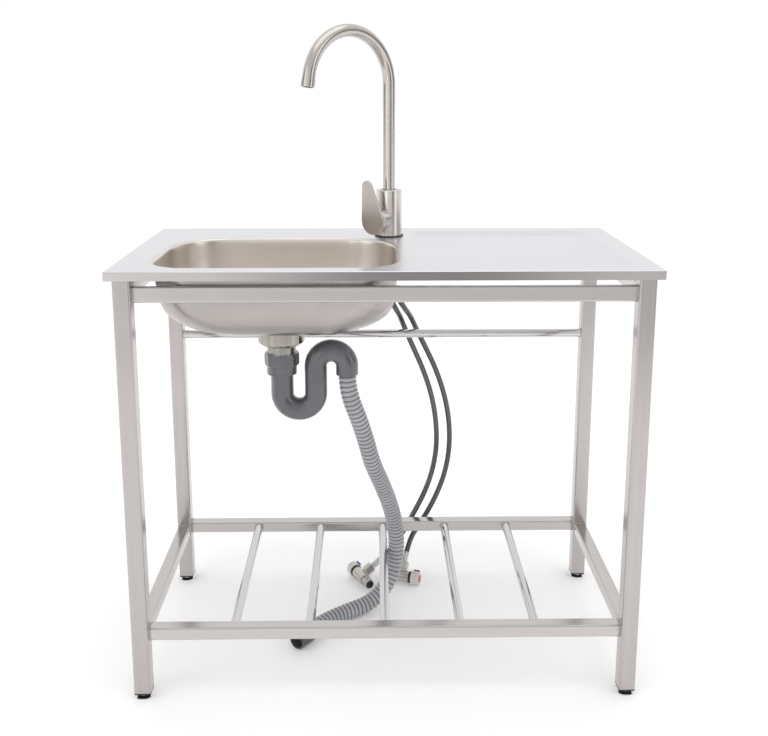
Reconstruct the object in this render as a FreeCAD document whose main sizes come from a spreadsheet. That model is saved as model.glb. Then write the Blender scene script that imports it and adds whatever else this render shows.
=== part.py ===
"""Freestanding stainless steel sink: worktop with a pressed bowl on a tube stand, tap, waste and hoses.

Millimetres. The origin is on the floor under the middle of the worktop, +X to the right,
+Y to the rear and +Z up.
"""
import FreeCAD
import Part
import Sketcher
import math
import os
import re

from FreeCAD import Placement, Rotation, Vector

doc = FreeCAD.newDocument("freestanding_sink")

SIZES = {
    # Worktop, folded from one sheet
    "worktop_width": 1000, "worktop_depth": 500, "worktop_height": 850, "sheet_gauge": 1.2,
    "apron_height": 17, "apron_return": 8, "fold_radius": 2.5, "worktop_corner_radius": 4,
    "cut_overrun": 5,
    # Pressed drainer at the right of the bowl
    "drainer_left_gap": 32, "drainer_right_border": 50, "drainer_front_border": 20,
    "drainer_rear_border": 44, "drainer_fall": 5, "drainer_slope": 14, "drainer_corner_radius": 34,
    # Bowl
    "bowl_length": 452, "bowl_left_border": 62, "bowl_front_border": 33, "bowl_rear_border": 135,
    "bowl_depth": 148, "bowl_draft": 4, "bowl_floor_radius": 56, "bowl_lip_radius": 8,
    "bowl_floor_front_corner": 6, "bowl_floor_rear_corner": 48, "drain_offset": 2,
    # Stand tubes
    "leg_width": 32, "leg_inset": 12, "leg_lift": 12, "tube_wall": 1.2, "tube_corner_radius": 3.5,
    "rail_setback": 14, "top_rail_height": 30, "top_rail_thickness": 13, "top_rail_drop": 16,
    "shelf_rail_height": 25, "shelf_rail_thickness": 28, "shelf_rail_top": 141.5,
    "shelf_side_rail_width": 28, "slat_radius": 9.5, "slat_drop": 3, "slat_pitch": 148,
    "slat_count": 5, "bar_radius": 9.5, "bar_drop": 240, "bar_setback": 10,
    # Plugs and levelling feet
    "plug_flange": 3, "plug_depth": 24, "plug_clearance": 0.2, "foot_stud_radius": 5,
    "foot_stud_length": 46, "foot_pad_radius": 18.5, "foot_pad_height": 5, "foot_pad_rim": 2,
    "foot_neck_radius": 11, "foot_clearance": 0.06, "foot_stop_gap": 0.3,
    # Tap body and its fixing
    "tap_from_drainer": 49, "tap_rear_border": 107, "tap_body_radius": 28, "tap_body_height": 98,
    "tap_body_edge": 2, "tap_gasket_radius": 31, "tap_gasket_height": 3, "tap_shank_radius": 16,
    "tap_shank_length": 58, "tap_shank_engage": 14, "tap_hole_clearance": 1.5,
    "fixing_washer_radius": 29, "fixing_washer_height": 4, "fixing_nut_radius": 26,
    "fixing_nut_height": 10, "hexagon_sides": 6, "thread_clearance": 0.15, "running_clearance": 0.05,
    # Swivelling spout
    "spout_radius": 13, "spout_wall": 1.5, "spout_seat_depth": 34, "spout_bend_radius": 108,
    "spout_bend_height": 322, "spout_bend_angle": 170, "spout_turn": 222, "spout_tail": 7,
    "spout_bush_radius": 18, "spout_bush_proud": 1, "spout_bush_depth": 12,
    "aerator_radius": 13.8, "aerator_length": 16, "aerator_bore": 10.5, "aerator_screen": 2,
    "aerator_mesh_hole": 1.1, "aerator_mesh_ring": 6, "aerator_mesh_count": 12,
    # Mixer boss, cartridge and lever
    "boss_radius": 22.5, "boss_reach": 44, "boss_height": 38, "boss_turn": 230, "boss_edge": 4.5,
    "cartridge_radius": 17, "cartridge_back": 12, "cartridge_clearance": 0.1,
    "cartridge_front": 40, "carrier_radius": 12, "carrier_back": 28, "carrier_front": 46,
    "carrier_slot_width": 10.4, "carrier_slot_height": 17, "lever_pivot": 38,
    "lever_stem_width": 10, "lever_stem_height": 8, "lever_stem_back": 31, "lever_plate_back": 52,
    "lever_plate_thickness": 5, "lever_low_radius": 30, "lever_high_radius": 13.5,
    "lever_rise": 73, "lever_rest_turn": 12, "lever_edge": 1.6, "pivot_pin_radius": 2,
    "retaining_nut_bore": 13, "lever_screw_radius": 2.5, "lever_screw_head": 1.5,
    # Strainer, locknut and trap
    "strainer_flange_radius": 56, "strainer_flange_height": 2, "strainer_body_radius": 37,
    "strainer_wall": 2.2, "strainer_depth": 38, "strainer_floor_height": 3,
    "strainer_neck_radius": 28, "strainer_neck_drop": 74, "drain_bore": 20,
    "drain_hole_clearance": 1, "waste_gasket_radius": 48, "waste_gasket_height": 3,
    "locknut_radius": 46, "locknut_height": 34.8, "locknut_chamfer": 6, "locknut_rib_radius": 3,
    "locknut_ribs": 18,
    "basket_radius": 32, "basket_rim_radius": 43, "basket_wall": 1.2, "basket_depth": 20,
    "basket_hole_radius": 2, "basket_hole_ring": 22, "basket_inner_ring": 13.2, "basket_holes": 16,
    "basket_knob_radius": 8, "basket_knob_height": 30, "basket_post_radius": 3,
    "basket_seat_gap": 0.3,
    "trap_nut_radius": 35, "trap_nut_engage": 17, "trap_nut_height": 25, "trap_collar_height": 18,
    "trap_collar_radius": 30.5, "trap_nut_chamfer": 2, "trap_nut_flats": 8,
    "trap_washer_height": 2.5, "trap_pipe_radius": 23, "trap_pipe_wall": 2.5,
    "trap_low_bend_radius": 34, "trap_drop": 69, "trap_high_bend_radius": 31.5,
    "trap_rise": 57, "trap_outlet_run": 8, "trap_clearance": 0.2,
    # Ribbed drain hose, the bush that holds it in the trap, and its cuff
    "hose_bush_height": 9, "hose_bush_spigot": 8, "hose_bush_clearance": 0.3,
    "hose_rib_radius": 18.5, "hose_root_radius": 15.8, "hose_bore_radius": 14.2, "hose_rib_pitch": 10,
    "cuff_radius": 19.2, "cuff_length": 40, "cuff_bore_radius": 16, "cuff_edge": 1.6,
    # Braided tap hoses with their ferrules and nuts
    "tap_hose_radius": 6.2, "hose_spread": 16, "ferrule_radius": 7.2, "ferrule_length": 24,
    "hose_nut_radius": 12.6, "hose_nut_length": 18, "hose_nut_start": 16,
    # Angle valves
    "valve_axis_height": 16.8, "valve_knob_radius": 15.6, "valve_knob_length": 20,
    "valve_knob_edge": 2, "valve_body_edge": 1.2, "valve_flute_radius": 2, "valve_flutes": 12,
    "valve_ring_radius": 13.6, "valve_ring_length": 6, "valve_body_radius": 13, "valve_body_length": 44,
    "valve_thread_radius": 10.48, "valve_thread_length": 23, "valve_bore_radius": 7,
    "valve_branch_from_knob": 48, "valve_branch_length": 22, "valve_branch_radius": 10.2,
    "valve_bonnet_gap": 0.3, "valve_stem_radius": 4, "valve_mark_radius": 9,
    "valve_mark_height": 1.2,
    "cold_knob_right": -74, "cold_knob_rear": 235, "cold_turn": -62.4, "cold_branch_tilt": 30,
    "hot_knob_right": 88, "hot_knob_rear": 176, "hot_turn": 160, "hot_branch_tilt": 40,
}

# Hand-chosen centre lines of the three hoses
DRAIN_HOSE_ROUTE = [
    (-75, -51, 615.7), (-75, -51, 580), (-67, -47, 540), (-52, -36, 497), (-38, -19, 445), (-25, 0, 385),
    (-4, 38, 322), (15, 76, 256), (28, 104, 190), (31, 112, 130), (24, 106, 82), (4, 89, 44),
    (-32, 64, 21.5), (-72, 40, 18.7), (-108, 14, 18.7), (-139, -15, 18.7), (-163, -46, 18.7),
]
COLD_HOSE_ROUTE = [
    (5, 143, 766.5), (5, 143, 739), (16, 149, 708), (29, 176, 678), (40, 213, 652), (52, 243, 615),
    (72, 258, 566), (98, 265, 506), (119, 268, 440), (130, 269, 372), (131, 269, 306), (120, 269, 244),
    (100, 268, 188), (74, 265, 138), (48, 251, 96), (23.4, 231.8, 65.8), (-7, 215.9, 46),
]
HOT_HOSE_ROUTE = [
    (21, 143, 766.5), (21, 143, 739), (34, 149, 708), (50, 176, 678), (64, 213, 652), (79, 243, 613),
    (103, 259, 562), (130, 266, 502), (151, 269, 436), (162, 270, 368), (162, 270, 302), (151, 270, 240),
    (131, 269, 186), (107, 268, 138), (87.5, 268, 107), (67.5, 260.1, 77.2), (58.2, 234.4, 54.3),
]
BEND_SHARE = 0.45

# Places that follow the worktop and the bowl
BOWL_WIDTH = "(worktop_depth - bowl_front_border - bowl_rear_border - 2 * bowl_lip_radius)"
BOWL_X = "(bowl_left_border + bowl_lip_radius + bowl_length / 2 - worktop_width / 2)"
BOWL_Y = "(bowl_front_border + bowl_lip_radius + %s / 2 - worktop_depth / 2)" % BOWL_WIDTH
FRONT_CORNER = "(bowl_floor_front_corner + bowl_floor_radius + bowl_draft)"
REAR_CORNER = "(bowl_floor_rear_corner + bowl_floor_radius + bowl_draft)"
BOWL_FLOOR = "(worktop_height - bowl_depth)"
BOWL_UNDER = "(worktop_height - bowl_depth - sheet_gauge)"
DRAINER_LEFT = "(%s + bowl_length / 2 + bowl_lip_radius + drainer_left_gap)" % BOWL_X
TAP = ("(%s - tap_from_drainer)" % DRAINER_LEFT, "(worktop_depth / 2 - tap_rear_border)")
TAP_FOOT = "worktop_height + tap_gasket_height"
DRAIN = ("(%s - drain_offset)" % BOWL_X, BOWL_Y)
NECK_END = "(%s - strainer_neck_drop)" % BOWL_FLOOR

sheet = doc.addObject("Spreadsheet::Sheet", "Sizes")
for row, (alias, number) in enumerate(SIZES.items(), start=1):
    sheet.set("A%d" % row, alias)
    sheet.set("B%d" % row, str(number))
    sheet.setAlias("B%d" % row, alias)
doc.recompute()

nodes = {}


def bound(text):
    """The expression with every size named through the sheet."""
    return re.sub(r"[a-z_]+", lambda word: "Sizes." + word[0] if word[0] in SIZES else word[0], str(text))


def size(text):
    """The number that an expression of named sizes comes to."""
    return float(sheet.evalExpression(bound(text)))


def point(*texts):
    return Vector(*[size(text) for text in texts])


def keep(label, piece):
    """Give a finished sub-part the label that names its file."""
    piece.Label = label
    nodes[label] = piece
    return piece


def bind_place(piece, place, turn=None):
    """Put a piece at a place of three expressions, turned by a rotation."""
    if place is None:
        return
    piece.Placement = Placement(point(*place), turn or Rotation())
    for axis, text in zip("xyz", place):
        piece.setExpression("Placement.Base." + axis, bound(text))


def plane_of(body, role):
    return next(item for item in body.Origin.OriginFeatures if item.Role == role)


def new_sketch(body, role, name):
    sketch = body.newObject("Sketcher::SketchObject", name)
    sketch.AttachmentSupport = [(plane_of(body, role), "")]
    sketch.MapMode = "FlatFace"
    return sketch


def draw_outline(sketch, corners):
    """A closed outline of straight lines whose corners are bound to expressions."""
    first = sketch.GeometryCount
    spots = [point(across, up, 0) for across, up in corners]
    for start, end in zip(spots, spots[1:] + spots[:1]):
        sketch.addGeometry(Part.LineSegment(start, end), False)
    for index, (across, up) in enumerate(corners):
        line = first + index
        after = first + (index + 1) % len(corners)
        sketch.addConstraint(Sketcher.Constraint("Coincident", line, 2, after, 1))
        for kind, text, on_axis in (("DistanceX", across, -2), ("DistanceY", up, -1)):
            number = size(text)
            if abs(number) < Part.Precision.confusion():
                sketch.addConstraint(Sketcher.Constraint("PointOnObject", line, 1, on_axis))
                continue
            datum = sketch.addConstraint(Sketcher.Constraint(kind, -1, 1, line, 1, number))
            sketch.setExpression("Constraints[%d]" % datum, bound(text))


def turned(name, outline, place=None, turn=None):
    """A body turned about its own Z axis from an outline of radius and height."""
    body = doc.addObject("PartDesign::Body", name)
    sketch = new_sketch(body, "XZ_Plane", name + "_outline")
    draw_outline(sketch, outline)
    lathe = body.newObject("PartDesign::Revolution", name + "_turning")
    lathe.Profile = sketch
    lathe.ReferenceAxis = (sketch, ["V_Axis"])
    lathe.Angle = 360
    bind_place(body, place, turn)
    doc.recompute()
    return body


def tube(name, across, deep, length, place, turn=None):
    """A rectangular tube along its own Z axis, with rounded corners and a named wall."""
    body = doc.addObject("PartDesign::Body", name)
    sketch = new_sketch(body, "XY_Plane", name + "_section")
    for inset in ("0", "tube_wall"):
        half_across = "(%s) / 2 - %s" % (across, inset)
        half_deep = "(%s) / 2 - %s" % (deep, inset)
        left, near = "-(%s)" % half_across, "-(%s)" % half_deep
        draw_outline(sketch, [(left, near), (half_across, near), (half_across, half_deep), (left, half_deep)])
    pad = body.newObject("PartDesign::Pad", name + "_run")
    pad.Profile = sketch
    pad.setExpression("Length", bound(length))
    doc.recompute()
    for inset, radius in (("0", "tube_corner_radius"), ("tube_wall", "tube_corner_radius - tube_wall")):
        reach = Vector(size("(%s) / 2 - %s" % (across, inset)), size("(%s) / 2 - %s" % (deep, inset)))
        edges = []
        for index, edge in enumerate(body.Tip.Shape.Edges, start=1):
            middle = edge.CenterOfMass
            away = abs(abs(middle.x) - reach.x) + abs(abs(middle.y) - reach.y)
            if away < size("tube_wall") / 2 and edge.BoundBox.ZLength > size(length) / 2:
                edges.append("Edge%d" % index)
        base = body.Tip
        corner = body.newObject("PartDesign::Fillet", name + "_corners")
        corner.Base = (base, edges)
        corner.setExpression("Radius", bound(radius))
        body.Tip = corner
        doc.recompute()
    bind_place(body, place, turn)
    return body


def rounded_rings(body, rings, radius):
    """Round the circular edges of a turned body that lie at the given radius and height."""
    base = body.Tip
    edges = []
    for index, edge in enumerate(base.Shape.Edges, start=1):
        if not isinstance(edge.Curve, Part.Circle):
            continue
        for ring, height in rings:
            level = abs(edge.Curve.Center.z - size(height))
            if level + abs(edge.Curve.Radius - size(ring)) < size("sheet_gauge") / 10:
                edges.append("Edge%d" % index)
    rounding = body.newObject("PartDesign::Fillet", body.Name + "_rounding")
    rounding.Base = (base, edges)
    rounding.setExpression("Radius", bound(radius))
    body.Tip = rounding
    doc.recompute()
    return body


def bored_round(body, hole, ring, count):
    """Cut a ring of equal round flutes or holes along the whole of a turned body."""
    before = body.Shape.Volume
    base = body.Tip
    sketch = new_sketch(body, "XY_Plane", body.Name + "_flute")
    sketch.addGeometry(Part.Circle(Vector(size(ring), 0, 0), Vector(0, 0, 1), size(hole)), False)
    sketch.addConstraint(Sketcher.Constraint("PointOnObject", 0, 3, -1))
    away = sketch.addConstraint(Sketcher.Constraint("DistanceX", -1, 1, 0, 3, size(ring)))
    sketch.setExpression("Constraints[%d]" % away, bound(ring))
    wide = sketch.addConstraint(Sketcher.Constraint("Radius", 0, size(hole)))
    sketch.setExpression("Constraints[%d]" % wide, bound(hole))
    flute = body.newObject("PartDesign::Pocket", body.Name + "_cut")
    flute.Profile = sketch
    flute.Type = "ThroughAll"
    flute.Midplane = True
    doc.recompute()
    around = body.newObject("PartDesign::PolarPattern", body.Name + "_ring")
    around.Originals = [flute]
    around.Axis = (sketch, ["N_Axis"])
    around.Angle = 360
    around.setExpression("Occurrences", bound(count))
    body.Tip = around
    doc.recompute()
    if body.Shape.Volume >= before or base is None:
        raise ValueError(body.Name + " lost nothing to its flutes")
    return body


def box(name, lengths, place, turn=None):
    piece = doc.addObject("Part::Box", name)
    for side, text in zip(("Length", "Width", "Height"), lengths):
        piece.setExpression(side, bound(text))
    bind_place(piece, place, turn)
    return piece


def cylinder(name, radius, height, place=None, turn=None):
    piece = doc.addObject("Part::Cylinder", name)
    piece.setExpression("Radius", bound(radius))
    piece.setExpression("Height", bound(height))
    bind_place(piece, place, turn)
    return piece


def cut(name, base, tool):
    piece = doc.addObject("Part::Cut", name)
    piece.Base = base
    piece.Tool = tool
    doc.recompute()
    return piece


def fuse(name, pieces):
    piece = doc.addObject("Part::MultiFuse", name)
    piece.Shapes = pieces
    doc.recompute()
    return piece


def shaped(name, shape, place=Placement()):
    """A sub-part whose shape is worked out here from the sizes in the sheet."""
    piece = doc.addObject("Part::Feature", name)
    piece.Shape = shape
    piece.Placement = place
    return piece


def rounded_rectangle(length, width, rear_radius, front_radius, level, centre):
    """A closed wire: a rectangle with quarter-circle corners, level with the floor."""
    edges = []
    corners = [(1, 1), (-1, 1), (-1, -1), (1, -1)]
    for number, (right, rear) in enumerate(corners):
        radius = rear_radius if rear > 0 else front_radius
        diagonal = radius * (1 - math.sqrt(0.5))
        tip = Vector(centre.x + right * length / 2, centre.y + rear * width / 2, level)
        along_x = Vector(-right * radius, 0, 0)
        along_y = Vector(0, -rear * radius, 0)
        inner = tip + Vector(-right * diagonal, -rear * diagonal, 0)
        first, last = (along_y, along_x) if number % 2 == 0 else (along_x, along_y)
        edges.append((tip + first, inner, tip + last))
    wire = []
    for this, after in zip(edges, edges[1:] + edges[:1]):
        wire.append(Part.Arc(*this).toShape())
        wire.append(Part.LineSegment(this[2], after[0]).toShape())
    return Part.Wire(wire)


def low_edges(shape, level):
    """The edges that lie wholly at one level."""
    near = Part.Precision.confusion() * 100
    return [edge for edge in shape.Edges
            if abs(edge.BoundBox.ZMin - level) < near and abs(edge.BoundBox.ZMax - level) < near]


def worktop():
    width, depth = "worktop_width", "worktop_depth"
    inner_width, inner_depth = "worktop_width - 2 * sheet_gauge", "worktop_depth - 2 * sheet_gauge"
    low = "worktop_height - apron_height"
    outer = box("worktop_block", (width, depth, "apron_height"),
                ("-worktop_width / 2", "-worktop_depth / 2", low))
    doc.recompute()
    folded = doc.addObject("Part::Fillet", "worktop_folds")
    folded.Base = outer
    rounds = []
    for index, edge in enumerate(outer.Shape.Edges, start=1):
        if edge.BoundBox.ZLength > size("apron_height") / 2:
            rounds.append((index, size("worktop_corner_radius"), size("worktop_corner_radius")))
        elif edge.BoundBox.ZMin > size("worktop_height - apron_height / 2"):
            rounds.append((index, size("fold_radius"), size("fold_radius")))
    folded.Edges = rounds
    hollow = box("worktop_hollow", (inner_width, inner_depth, "apron_height - 2 * sheet_gauge"),
                 ("sheet_gauge - worktop_width / 2", "sheet_gauge - worktop_depth / 2",
                  low + " + sheet_gauge"))
    mouth = box("worktop_mouth", (inner_width + " - 2 * apron_return", inner_depth + " - 2 * apron_return",
                                  "sheet_gauge + cut_overrun"),
                ("sheet_gauge + apron_return - worktop_width / 2",
                 "sheet_gauge + apron_return - worktop_depth / 2", low + " - cut_overrun"))
    tray = cut("worktop_tray", folded, fuse("worktop_inside", [hollow, mouth]))

    right = "worktop_width / 2 - drainer_right_border"
    front = "drainer_front_border - worktop_depth / 2"
    rear = "worktop_depth / 2 - drainer_rear_border"
    middle = point("(%s + %s) / 2" % (DRAINER_LEFT, right), "(%s + %s) / 2" % (front, rear), "0")
    long, deep = size("%s - %s" % (right, DRAINER_LEFT)), size("%s - (%s)" % (rear, front))
    top, fall, slope = size("worktop_height"), size("drainer_fall"), size("drainer_slope")
    corner, gauge = size("drainer_corner_radius"), size("sheet_gauge")

    def dish(drop):
        above = rounded_rectangle(long, deep, corner, corner, top - drop, middle)
        inner = corner - slope
        below = rounded_rectangle(long - 2 * slope, deep - 2 * slope, inner, inner, top - drop - fall, middle)
        return Part.makeLoft([above, below], True, True)

    pan = shaped("drainer_pan", dish(gauge))
    recess = shaped("drainer_recess", dish(0))
    with_pan = fuse("worktop_with_pan", [tray, pan])
    lip, through = size("bowl_lip_radius"), "apron_height + cut_overrun"
    hole_wire = rounded_rectangle(size("bowl_length") + 2 * lip, size(BOWL_WIDTH) + 2 * lip,
                                  size(REAR_CORNER) + lip, size(FRONT_CORNER) + lip, size(low),
                                  point(BOWL_X, BOWL_Y, "0"))
    bowl_hole = shaped("worktop_bowl_hole", Part.Face(hole_wire).extrude(point("0", "0", through)))
    tap_hole = cylinder("worktop_tap_hole", "tap_shank_radius + tap_hole_clearance", through, TAP + (low,))
    keep("worktop", cut("worktop", with_pan, fuse("worktop_holes", [recess, bowl_hole, tap_hole])))


def bowl():
    """The pressed bowl, its lip, wall and floor radius taken round the rim as one section."""
    centre = point(BOWL_X, BOWL_Y, "0")
    gauge, lip = size("sheet_gauge"), size("bowl_lip_radius")
    length, width = size("bowl_length"), size(BOWL_WIDTH)
    rear_corner, front_corner = size(REAR_CORNER), size(FRONT_CORNER)
    head, floor, bend = size("worktop_height") - lip, size(BOWL_FLOOR), size("bowl_floor_radius")
    lean = math.atan2(size("bowl_draft"), head - floor)
    hub_level = floor + bend
    hub_in = -math.tan(lean) * (head - hub_level + bend * math.sin(lean)) - bend * math.cos(lean)

    def section(outward):
        """Lip, wall and floor radius, standing on the wall line with the lip leaning outward."""
        def spot(across, level):
            return outward * across + Vector(0, 0, level)

        def on_lip(radius, degrees):
            angle = math.radians(degrees)
            return spot(lip - radius * math.cos(angle), head + radius * math.sin(angle))

        def on_floor(radius, share):
            angle = lean + share * (math.pi / 2 - lean)
            return spot(hub_in + radius * math.cos(angle), hub_level - radius * math.sin(angle))

        edges = []
        for radius, grown in ((lip, bend), (lip - gauge, bend + gauge)):
            edges.append(Part.Arc(on_lip(radius, 90), on_lip(radius, 45), on_lip(radius, 0)).toShape())
            edges.append(Part.LineSegment(on_lip(radius, 0), on_floor(grown, 0)).toShape())
            sole = (on_floor(grown, 0), on_floor(grown, BEND_SHARE), on_floor(grown, 1))
            edges.append(Part.Arc(*sole).toShape())
        edges.append(Part.LineSegment(on_lip(lip, 90), on_lip(lip - gauge, 90)).toShape())
        edges.append(Part.LineSegment(on_floor(bend, 1), on_floor(bend + gauge, 1)).toShape())
        return Part.Face(Part.Wire(Part.__sortEdges__(edges)))

    flat = Part.Face(rounded_rectangle(length + 2 * hub_in, width + 2 * hub_in, rear_corner + hub_in,
                                       front_corner + hub_in, floor - gauge, centre))
    pieces = []
    corners = (rear_corner, rear_corner, front_corner, front_corner)
    for number, corner in enumerate(corners):
        before = corners[number - 1]
        heading = level_direction(90 * number)
        run, reach = (width, length) if number % 2 == 0 else (length, width)
        sideways = Vector(-heading.y, heading.x, 0)
        straight = section(heading)
        straight.translate(centre + heading * (reach / 2) - sideways * (run / 2 - before))
        pieces.append(straight.extrude(sideways * (run - before - corner)))
        hub = centre + heading * (reach / 2 - corner) + sideways * (run / 2 - corner)
        quarter = section(heading)
        quarter.translate(hub + heading * corner)
        pieces.append(quarter.revolve(hub, Vector(0, 0, 1), 90))
    hole = Part.makeCylinder(size("strainer_body_radius + drain_hole_clearance"),
                             size("2 * cut_overrun + sheet_gauge"),
                             point(*DRAIN, BOWL_UNDER + " - cut_overrun"))
    whole = flat.extrude(Vector(0, 0, gauge)).fuse(pieces).removeSplitter()
    keep("bowl", shaped("bowl", whole.cut(hole)))


def level_direction(degrees):
    angle = math.radians(degrees)
    return Vector(math.cos(angle), math.sin(angle), 0)


SIDES = (("left", -1), ("right", 1))
ENDS = (("front", -1), ("rear", 1))
LEG_X = "(worktop_width / 2 - leg_inset - leg_width / 2)"
LEG_Y = "(worktop_depth / 2 - leg_inset - leg_width / 2)"
BETWEEN_X = "worktop_width - 2 * leg_inset - 2 * leg_width"
BETWEEN_Y = "worktop_depth - 2 * leg_inset - 2 * leg_width"


def stand():
    """Legs, rails, slats and back bar, all welded tube."""
    for end, rear in ENDS:
        for side, right in SIDES:
            name = "leg_%s_%s" % (end, side)
            keep(name, tube(name, "leg_width", "leg_width", "worktop_height - sheet_gauge - leg_lift",
                            ("%d * %s" % (right, LEG_X), "%d * %s" % (rear, LEG_Y), "leg_lift")))
    turn_x = Rotation(Vector(1, 1, 1), 120)
    turn_y = Rotation(Vector(1, 0, 0), -90)
    top_level = "worktop_height - apron_height - top_rail_drop - top_rail_height / 2"
    shelf_level = "shelf_rail_top - shelf_rail_height / 2"
    start_x, start_y = "-(%s) / 2" % BETWEEN_X, "-(%s) / 2" % BETWEEN_Y
    for end, rear in ENDS:
        face = "%d * %s - leg_width / 2 + rail_setback" % (rear, LEG_Y)
        name = "top_%s_rail" % end
        keep(name, tube(name, "top_rail_thickness", "top_rail_height", BETWEEN_X,
                        (start_x, face + " + top_rail_thickness / 2", top_level), turn_x))
        name = "shelf_%s_rail" % end
        keep(name, tube(name, "shelf_rail_thickness", "shelf_rail_height", BETWEEN_X,
                        (start_x, face + " + shelf_rail_thickness / 2", shelf_level), turn_x))
    for side, right in SIDES:
        name = "top_%s_rail" % side
        keep(name, tube(name, "top_rail_thickness", "top_rail_height", BETWEEN_Y,
                        ("%d * %s" % (right, LEG_X), start_y, top_level), turn_y))
        name = "shelf_%s_rail" % side
        keep(name, tube(name, "shelf_side_rail_width", "shelf_rail_height", BETWEEN_Y,
                        ("%d * %s" % (right, LEG_X), start_y, shelf_level), turn_y))
    slat_start = "-%s - leg_width / 2 + rail_setback + shelf_rail_thickness" % LEG_Y
    slat_length = "2 * %s - shelf_rail_thickness" % LEG_Y
    slat_level = "shelf_rail_top - slat_drop - slat_radius"
    for number in range(int(size("slat_count"))):
        name = "shelf_slat_%d" % (number + 1)
        across = "(%d - (slat_count - 1) / 2) * slat_pitch" % number
        place = (across, slat_start, slat_level)
        rod = cylinder(name + "_rod", "slat_radius", slat_length, place, turn_y)
        bore = cylinder(name + "_bore", "slat_radius - tube_wall", slat_length, place, turn_y)
        keep(name, cut(name, rod, bore))
    bar_place = (start_x, "%s - leg_width / 2 + bar_setback" % LEG_Y, "worktop_height - bar_drop")
    rod = cylinder("back_bar_rod", "bar_radius", BETWEEN_X, bar_place, turn_x)
    bore = cylinder("back_bar_bore", "bar_radius - tube_wall", BETWEEN_X, bar_place, turn_x)
    keep("back_bar", cut("back_bar", rod, bore))


def feet():
    """Square plugs in the leg ends, and a screwed levelling foot in each."""
    plugs = []
    inner = "leg_width - 2 * tube_wall - 2 * plug_clearance"
    for end, rear in ENDS:
        for side, right in SIDES:
            corner = end + "_" + side
            x, y = "%d * %s" % (right, LEG_X), "%d * %s" % (rear, LEG_Y)
            flange = box("plug_flange_" + corner, ("leg_width", "leg_width", "plug_flange"),
                         (x + " - leg_width / 2", y + " - leg_width / 2", "leg_lift - plug_flange"))
            insert = box("plug_insert_" + corner, (inner, inner, "plug_depth"),
                         (x + " - (%s) / 2" % inner, y + " - (%s) / 2" % inner, "leg_lift"))
            doc.recompute()
            rounded = doc.addObject("Part::Fillet", "plug_insert_round_" + corner)
            rounded.Base = insert
            radius = size("tube_corner_radius - tube_wall")
            rounded.Edges = [(index, radius, radius) for index, edge in enumerate(insert.Shape.Edges, start=1)
                             if edge.BoundBox.ZLength > size("plug_depth") / 2]
            flange_round = doc.addObject("Part::Fillet", "plug_flange_round_" + corner)
            flange_round.Base = flange
            radius = size("tube_corner_radius")
            upright = size("plug_flange") / 2
            flange_round.Edges = [(index, radius, radius)
                                  for index, edge in enumerate(flange.Shape.Edges, start=1)
                                  if edge.BoundBox.ZLength > upright]
            bore = cylinder("plug_bore_" + corner, "foot_stud_radius + foot_clearance",
                            "plug_flange + plug_depth + 2 * cut_overrun",
                            (x, y, "leg_lift - plug_flange - cut_overrun"))
            plugs.append(cut("plug_" + corner, fuse("plug_solid_" + corner, [rounded, flange_round]), bore))
            neck_top = "leg_lift - plug_flange - foot_stop_gap"
            foot = turned("levelling_foot_" + corner, [
                ("0", "0"), ("foot_pad_radius", "0"), ("foot_pad_radius", "foot_pad_rim"),
                ("foot_neck_radius", "foot_pad_height"), ("foot_neck_radius", neck_top),
                ("foot_stud_radius", neck_top), ("foot_stud_radius", "foot_stud_length"),
                ("0", "foot_stud_length")], (x, y, "0"))
            keep("levelling_foot_" + corner, foot)
    group = doc.addObject("Part::Compound", "foot_plugs")
    group.Links = plugs
    doc.recompute()
    keep("foot_plugs", group)


def along(direction):
    """The rotation that takes Z to a direction."""
    return Rotation(Vector(0, 0, 1), direction)


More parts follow.
